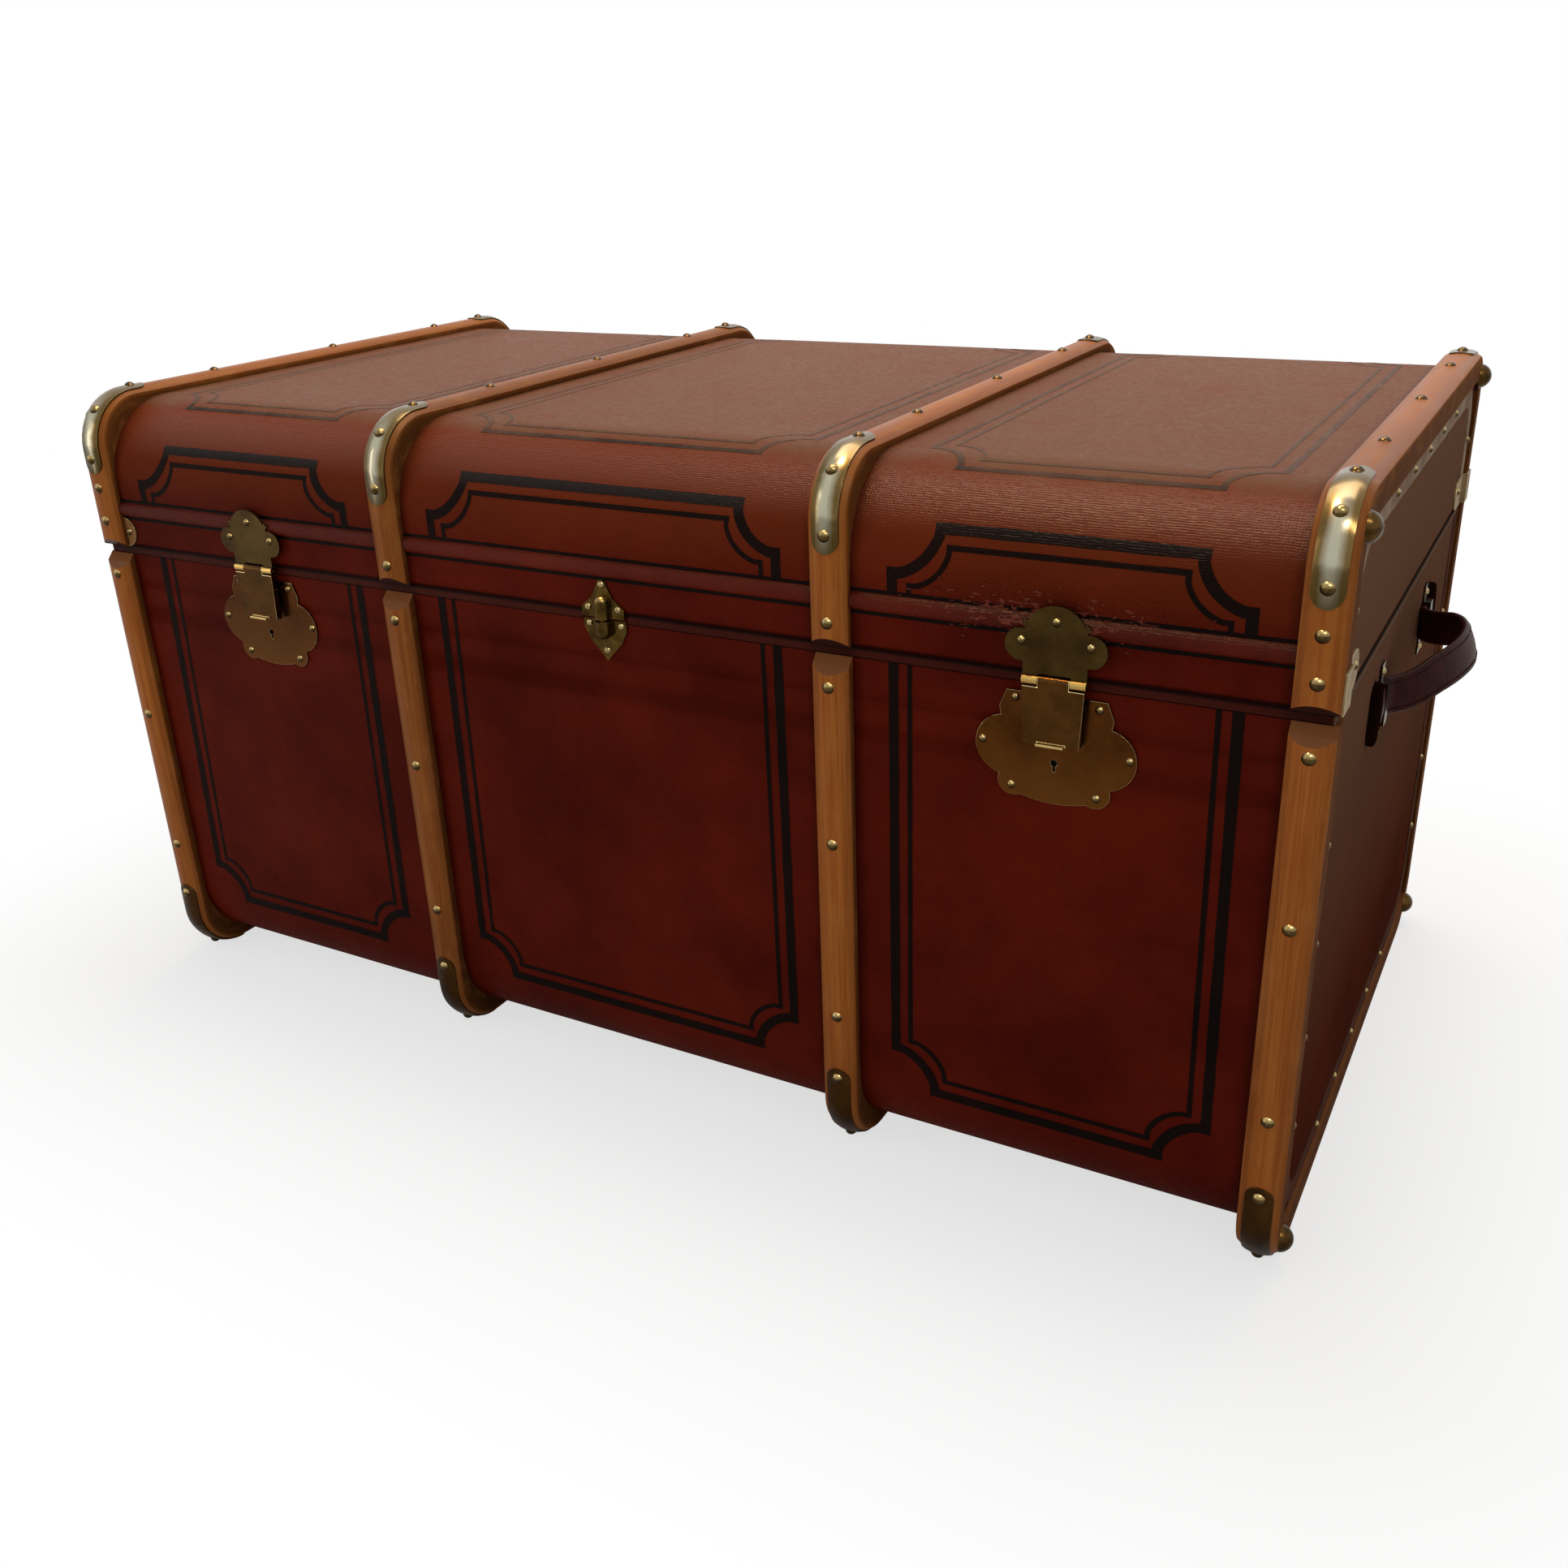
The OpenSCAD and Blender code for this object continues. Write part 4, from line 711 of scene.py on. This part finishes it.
def strip_leather(name, pale, dark):
    """Dry vegetable-tanned leather: matt, with fine pores and paler rubbed spots."""
    finish, tree, shader, place = new_finish(name, 0.85, Specular_IOR_Level=0.05)
    grain = add_node(tree, "TexVoronoi", {0: place, 2: 700.0}).outputs[0]
    blot = clouds(tree, place, 40.0, 6.0, 0.65)
    feed(tree, shader, Base_Color=toned(tree, blot, [(0.3, dark), (0.65, pale)]),
         Normal=bumped(tree, grain, 0.4, 0.0002))
    return finish


def bridge(faces, first, rows, wide, flipped, closed=False):
    """Adds the quads between rows of points, each wide points long, from the point first on."""
    for j in range(rows - 1):
        for i in range(wide if closed else wide - 1):
            a = first + j * wide + i
            b = first + j * wide + (i + 1) % wide
            quad = (a, b, b + wide, a + wide)
            faces.append(quad[::-1] if flipped else quad)


def end_strip(name, shell, end_x, start, finish, width, thick):
    """A strip on each end board along a shell's outline, from a run to the same run at the back."""
    points = []
    faces = []
    uvs = []
    # Shares of the width and of the thickness
    section = [(-0.5, 0.0), (-0.5, 0.6), (-0.46, 0.95), (-0.3, 1.0), (0.3, 1.0), (0.46, 0.95),
               (0.5, 0.6), (0.5, 0.0)]
    runs = spread(start, tub_length(shell) - start, 0.006)
    for side in (-1, 1):
        first = len(points)
        for run in runs:
            y, z, out_y, out_z = tub_point(shell, run)
            # The edges wander by less than half a millimetre
            wave = 0.0004 * noise.noise(Vector((run * 40, side, 1.3)))
            for across, up in section:
                far = width * across + wave
                points.append((side * (end_x + thick * up), y + out_y * far, z + out_z * far))
                uvs.append((run, width * across))
        wide = len(section)
        bridge(faces, first, len(runs), wide, side > 0)
        for row in (first, first + (len(runs) - 1) * wide):
            faces.append(tuple(range(row, row + wide)))
    return make_piece(name, points, faces, finish, uvs)


buff_leather = strip_leather("buff_strip_leather", "#927d69", "#6d5646")
brown_leather = strip_leather("brown_strip_leather", "#4a2818", "#30180f")
# The strips' width and thickness, and how far in from the long edges their middle lies
strip_w = 0.016
strip_t = 0.001
strip_in = 0.023
for half, finish, start in (("lid", buff_leather, 0.025), ("body", brown_leather, 0.0075)):
    front, back, rim, floor, radius = shells[half]
    way = 1 if floor > rim else -1
    middle = (front + strip_in, back - strip_in, rim, floor - way * strip_in, radius - strip_in)
    strip = end_strip(half + "_end_strip", middle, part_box(half + "_canvas")[1].x, start, finish,
                      strip_w, strip_t)
    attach(strip, "lid" if half == "lid" else "case")
    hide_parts(half + "_end_binding")

# Corner plates
# Thin brass plates lie over the outer sides of the end hoops at the lower corners of the lid, and
# step down to an ear on the end board. They are paler than the caps, as nobody handles them.

pale_brass = old_brass("pale_plate_brass", "#8f7b5b", "#6f5a3c", 0.6, 0.5,
                       fades=[(0, -0.44, -0.48, "#6e4826")])
dress("lid_corner_plates", pale_brass, rim_brass)

# Hasp locks
# Each lock has a stamped brass plate on the lid, a folded hasp on a pin, and a lobed plate over a
# steel lock case let into the plywood. The brass is olive or brown; its edges and crests are worn
# bright and also painted bright as highlights.

plate_brass = old_brass("brown_plate_brass", "#553112", "#391f0b", 0.52, 0.26, 30.0,
                        fades=[(2, 0.36, 0.31, "#603c18")])
# The knuckles' front crest is worn bright and also painted as a highlight
olive_brass = old_brass("olive_plate_brass", "#51401f", "#352611", 0.52, 0.26, 30.0,
                        fades=[(1, -0.2808, -0.2814, "#c2a05a")])
# The hasp's most forward parts are worn bright and also painted as a highlight
hasp_brass = old_brass("hasp_brass_rubbed_and_painted_lit", "#523617", "#34210d", 0.55, 0.22, 45.0,
                       fades=[(1, -0.2826, -0.2836, "#d3b26c")])
dress("hasp_plates", olive_brass, rim_brass, 0.0007)
dress("lock_plates", plate_brass, rim_brass, 0.0009)
for name in ("hasp_left", "hasp_right"):
    dress(name, hasp_brass, rim_brass, 0.0006)
dress("hasp_pins", rim_brass)


def filed_steel(name):
    """Filed and blued mild steel: dull grey-brown with fine marks along the file's stroke."""
    finish, tree, shader, place = new_finish(name, 0.45, Metallic=1.0)
    mark = clouds(tree, stretched(tree, place, (200, 200, 3000)), 1.0, 3.0)
    feed(tree, shader, Base_Color=toned(tree, mark, [(0.3, "#4b4642"), (0.7, "#6b655f")]),
         Normal=bumped(tree, mark, 0.2, 0.0001))
    return finish


lock_steel = filed_steel("filed_lock_steel")
for name in ("lock_cases", "lock_bolt_left", "lock_bolt_right"):
    dress(name, lock_steel)

# Guide clasp and back hinges
# The clasp is cast brass: a barrel with a peg on the lid drops into a socket on the body.
# Three butt hinges of rolled brass sheet hold the lid at the back.

# Faces turned up are painted brighter, as a painted highlight
clasp_brass = old_brass("clasp_brass_painted_lit_above", "#5f4b22", "#36270e", 0.5, 0.24, 90.0,
                        fades=[(5, 0.3, 0.9, "#ab935c")])
for name in ("guide_clasp_upper", "guide_clasp_lower", "hinge_lid_leaves", "hinge_body_leaves"):
    dress(name, clasp_brass, rim_brass, 0.0004)
dress("hinge_pins", rim_brass)

# Leather handles
# A strap of thick oxblood leather bows out between two brass loops, with a tee end past each loop
# that keeps it from pulling through. Two rows of waxed thread hold its layers together.


def oxblood_leather(name, deep, worn, roughness, shine):
    """Greased bridle leather: smooth, near black in the folds, with fine pores and a soft shine."""
    finish, tree, shader, place = new_finish(name, roughness, Specular_IOR_Level=shine)
    flat = add_node(tree, "TexCoord").outputs["UV"]
    # Pores are 0.5 mm apart, drawn at 0.9 mm; creases cross the strap about each 4 mm
    pore = add_node(tree, "TexVoronoi", {0: flat, 2: 1100.0}).outputs[0]
    crease = clouds(tree, stretched(tree, flat, (240, 45, 1)), 1.0, 5.0, 0.6)
    relief = calc(tree, "MULTIPLY_ADD", crease, 1.6, pore)
    feed(tree, shader, Base_Color=toned(tree, crease, [(0.32, deep), (0.75, worn)]),
         Normal=bumped(tree, relief, 0.35, 0.0003))
    return finish


strap_leather = oxblood_leather("oxblood_bridle_leather", "#210604", "#3a110c", 0.4, 0.08)
tee_leather = oxblood_leather("dark_bridle_leather", "#100604", "#1f0c09", 0.85, 0.0)
thread = strip_leather("waxed_thread", "#3c2018", "#24120d")
# The end board's face, the handle's height, and where and how far the hanging bow is tilted
end_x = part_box("body_canvas")[1].x
handle_z = 0.349
pivot = 0.006
tilt = math.radians(20)
# Half the width and thickness of the strap, the thread's radius and its height on the strap, and
# the radius of a tee end's corners and how far its middle is off the handle's middle
half_w = 0.013
half_t = 0.0025
thread_r = 0.0003
thread_out = 0.0026
tee_r = 0.011
tee_y = 0.123
# The strap's middle line leaves the loop flat, turns on a radius of 12 mm and bows on one of 102 mm
strap_line = [(0.116, 0.0027), (0.104, 0.0027), (0.094, 0.0027)]
strap_line += [(0.090 - 0.012 * math.sin(math.radians(a)), 0.0145 - 0.012 * math.cos(math.radians(a)))
               for a in (12, 30, 48)]
strap_line += [(0.102 * math.sin(math.radians(a)), 0.102 * math.cos(math.radians(a)) - 0.0559)
               for a in (47, 40, 33, 26, 19, 12, 6, 0)]


def smooth_path(line, step):
    """Points about a step apart on a smooth curve through a line's points."""
    fine = []
    padded = [line[0]] + list(line) + [line[-1]]
    for i in range(1, len(padded) - 2):
        p, q, r, s = [Vector(v) for v in padded[i - 1:i + 3]]
        steps = max(2, round((r - q).length / step))
        for k in range(steps):
            t = k / steps
            fine.append(0.5 * (2 * q + (r - p) * t + (2 * p - 5 * q + 4 * r - s) * t * t
                               + (3 * q - p - 3 * r + s) * t ** 3))
    fine.append(Vector(line[-1]))
    return fine


def strap_place(side, way, point, normal, out, up):
    """A point of the strap: out of its middle line by out, up its height by up, then tilted."""
    y = point.x + normal.x * out
    reach = point.y + normal.y * out
    # The tilt starts at the loop and is whole 45 mm farther in
    share = min(1.0, max(0.0, (0.095 - y) / 0.045))
    lift = tilt * share * share * (3 - 2 * share)
    far = reach - pivot
    x = end_x + pivot + far * math.cos(lift) - up * math.sin(lift)
    z = handle_z + far * math.sin(lift) + up * math.cos(lift)
    return side * x, way * y, z


def add_stitch(points, uvs, faces, path, normals, i, up, side, way):
    """Adds a stitch from station i of a strap's path: six rings of six points."""
    first = len(points)
    for k, share in enumerate((0.05, 0.35, 0.65, 0.95, 1.25, 1.5)):
        at = min(len(path) - 1.001, i + share * 1.15)
        low = int(at)
        p = path[low].lerp(path[low + 1], at - low)
        rise = thread_r * math.sin(math.pi * k / 5)
        for angle in range(6):
            turn_by = math.pi / 3 * angle
            points.append(strap_place(side, way, p, normals[low],
                                      thread_out + rise + thread_r * math.cos(turn_by),
                                      up + thread_r * math.sin(turn_by)))
            uvs.append((share * 0.001, angle * thread_r))
    for k in range(5):
        for angle in range(6):
            a = first + k * 6 + angle
            b = first + k * 6 + (angle + 1) % 6
            faces.append((a, a + 6, b + 6, b) if side * way < 0 else (a, b, b + 6, a + 6))


def strap_half(name, side, way):
    """Half a strap from its tee end to the middle of the bow, with its stitches."""
    path = smooth_path(strap_line, 0.0022)
    # Rounded edges, a groove beside each for the thread, and a padded crown between them
    section = []
    for across, out in ((-1.0, -0.35), (-0.93, -0.86), (-0.8, -1.0), (0.0, -1.0), (0.8, -1.0),
                        (0.93, -0.86), (1.0, -0.35), (1.0, 0.3), (0.94, 0.82), (0.82, 1.0),
                        (0.74, 1.04), (0.68, 0.98), (0.6, 1.1), (0.3, 1.28), (0.0, 1.34),
                        (-0.3, 1.28), (-0.6, 1.1), (-0.68, 0.98), (-0.74, 1.04), (-0.82, 1.0),
                        (-0.94, 0.82), (-1.0, 0.3)):
        section.append((across * half_w, out * half_t))
    points = []
    uvs = []
    faces = []
    run = 0.0
    wide = len(section)
    normals = []
    for i, p in enumerate(path):
        if i:
            run += (p - path[i - 1]).length
        along = (path[min(i + 1, len(path) - 1)] - path[max(i - 1, 0)]).normalized()
        normal = Vector((0.0, 1.0)) if p is path[-1] else Vector((-along.y, along.x))
        normals.append(normal if normal.y > 0 else -normal)
        for up, out in section:
            points.append(strap_place(side, way, p, normals[-1], out, up))
            uvs.append((run, up + out))
    bridge(faces, 0, len(path), wide, side * way < 0, closed=True)
    faces.append(tuple(range(wide)))
    leather = len(faces)
    # A stitch at each second station past the loop, in both grooves
    for i in range(14, len(path) - 2, 2):
        for up in (-0.71 * half_w, 0.71 * half_w):
            add_stitch(points, uvs, faces, path, normals, i, up, side, way)
    half = make_piece(name, points, faces, strap_leather, uvs)
    half.data.materials.append(thread)
    for face in half.data.polygons[leather:]:
        face.material_index = 1
    return half


def tee_end(points, uvs, faces, side, way):
    """Adds a tee end: a thick pad with round ends and worn-over edges, flat on the end board."""
    sides = 48
    outline = []
    for k in range(sides):
        angle = math.tau * k / sides
        centre = tee_r if math.sin(angle) > 0 else -tee_r
        outline.append((tee_r * math.cos(angle), centre + tee_r * math.sin(angle)))
    # Each ring of the pad is a share of the outline, at its height on the end board
    rings = ((1.0, 0.0), (1.0, 0.0036), (0.96, 0.0049), (0.88, 0.0054), (0.5, 0.0061))
    first = len(points)
    for grow, rise in rings:
        for y, z in outline:
            points.append((side * (end_x + rise), way * (tee_y + y * grow), handle_z + z * grow))
            uvs.append((y * grow, z * grow))
    top = len(points)
    points.append((side * (end_x + 0.0063), way * tee_y, handle_z))
    uvs.append((0.0, 0.0))
    flipped = side * way < 0
    bridge(faces, first, len(rings), sides, flipped, closed=True)
    for k in range(sides):
        a, b = top - sides + k, top - sides + (k + 1) % sides
        faces.append((b, a, top) if flipped else (a, b, top))


for side, label in ((1, "right"), (-1, "left")):
    for way, part in ((-1, "front"), (1, "back")):
        half = strap_half("strap_%s_%s" % (label, part), side, way)
        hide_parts("handle_%s_strap" % label, "handle_ends")
        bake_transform(half)
tee_points = []
tee_uvs = []
tee_faces = []
for side in (1, -1):
    for way in (-1, 1):
        tee_end(tee_points, tee_uvs, tee_faces, side, way)
tees = make_piece("handle_tees", tee_points, tee_faces, tee_leather, tee_uvs)
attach(tees, "case")
loop_brass = old_brass("dark_loop_brass", "#3e2b14", "#20150a", 0.5, 0.3)
dress("handle_loops", loop_brass)

# Studio
# The trunk stands on a plain pale floor under a big soft ceiling lamp, with a tall lamp to the left
# for the brass. A small warm lamp and a slanting bar lamp only give the canvas its shine.

floor_finish, tree, shader, place = new_finish("pale_floor", 0.9)
shader.inputs["Base Color"].default_value = linear("#f1f0ee")
path = add_node(tree, "LightPath")
glow = add_node(tree, "Emission", {0: (1.0, 1.0, 1.0, 1.0), 1: 1.0})
# The floor goes white with the distance from the trunk, and keeps the shadow beside it
axes = add_node(tree, "SeparateXYZ", {0: place}).outputs
aside = []
for axis, half_size in ((0, 0.5), (1, 0.27)):
    away = calc(tree, "SUBTRACT", calc(tree, "ABSOLUTE", axes[axis]), half_size)
    aside.append(calc(tree, "MAXIMUM", away, 0.0))
away = length_of(tree, add_node(tree, "CombineXYZ", dict(enumerate(aside))).outputs[0])
share = calc(tree, "MULTIPLY", path.outputs["Is Camera Ray"],
             scaled(tree, away, 0.02, 0.36, 0.68, 1.0))
whole = add_node(tree, "MixShader", {0: share, 1: shader.outputs[0], 2: glow.outputs[0]})
tree.links.new(whole.outputs[0], tree.nodes["Material Output"].inputs[0])
floor = make_piece("floor", [(-9, -9, 0), (9, -9, 0), (9, 9, 0), (-9, 9, 0)], [(0, 1, 2, 3)],
                   floor_finish)

world = bpy.data.worlds.new("white_room")
bpy.context.scene.world = world
world.use_nodes = True
tree = world.node_tree
path = add_node(tree, "LightPath")
# The room is white to the eye and in the brass, and lights the trunk with half as much
seen = calc(tree, "MAXIMUM", path.outputs["Is Camera Ray"], path.outputs["Is Glossy Ray"])
seen = calc(tree, "MAXIMUM", seen, path.outputs["Is Transmission Ray"])
tree.nodes["Background"].inputs[0].default_value = (1.0, 1.0, 1.0, 1.0)
tree.links.new(scaled(tree, seen, 0.0, 1.0, 0.52, 1.0), tree.nodes["Background"].inputs[1])


def lamp(name, place, aim, size, watts, colour, roll=0.0, shine_only=False):
    """A soft rectangular lamp at a place, turned to its aim. Some lamps only give a shine."""
    light = bpy.data.lights.new(name, "AREA")
    light.shape = "RECTANGLE"
    light.size, light.size_y = size
    light.energy = watts
    light.color = linear(colour)[:3]
    holder = bpy.data.objects.new(name, light)
    bpy.context.scene.collection.objects.link(holder)
    holder.location = place
    turned = (Vector(aim) - Vector(place)).to_track_quat("-Z", "Y")
    holder.rotation_euler = (turned @ Quaternion((0.0, 0.0, 1.0), math.radians(roll))).to_euler()
    holder.visible_diffuse = not shine_only


lamp("ceiling_lamp", (0.0, 0.6, 2.3), (0.0, 0.0, 0.3), (1.8, 1.2), 31.0, "#fff4e6")
lamp("tall_lamp", (-1.9, -1.9, 0.9), (0.0, -0.2, 0.35), (0.5, 1.8), 6.0, "#fff4e6")
lamp("warm_lamp", (0.02, -0.26, 1.7), (0.3, -0.25, 0.5), (0.22, 0.22), 16.0, "#ffcf96",
     shine_only=True)
lamp("bar_lamp", (1.1, -1.0, 1.7), (0.3, -0.28, 0.4), (0.9, 0.22), 12.0, "#fff6ea", -35.0, True)

# The camera's lens, its place and the way it faces were fitted to the photograph
camera_data = bpy.data.cameras.new("camera")
camera_data.sensor_width = 36.0
camera_data.lens = 34.76
camera = bpy.data.objects.new("camera", camera_data)
bpy.context.scene.collection.objects.link(camera)
right = Vector((0.87530563, 0.48223652, -0.03588864))
up = Vector((-0.16683174, 0.37080706, 0.91360237))
behind = Vector((0.45388019, -0.79369394, 0.40502186))
camera.matrix_world = (Matrix.Translation((0.6316, -1.1130, 0.7228))
                       @ Matrix((right, up, behind)).transposed().to_4x4())
bpy.context.scene.camera = camera
bpy.context.scene.view_settings.view_transform = "Standard"
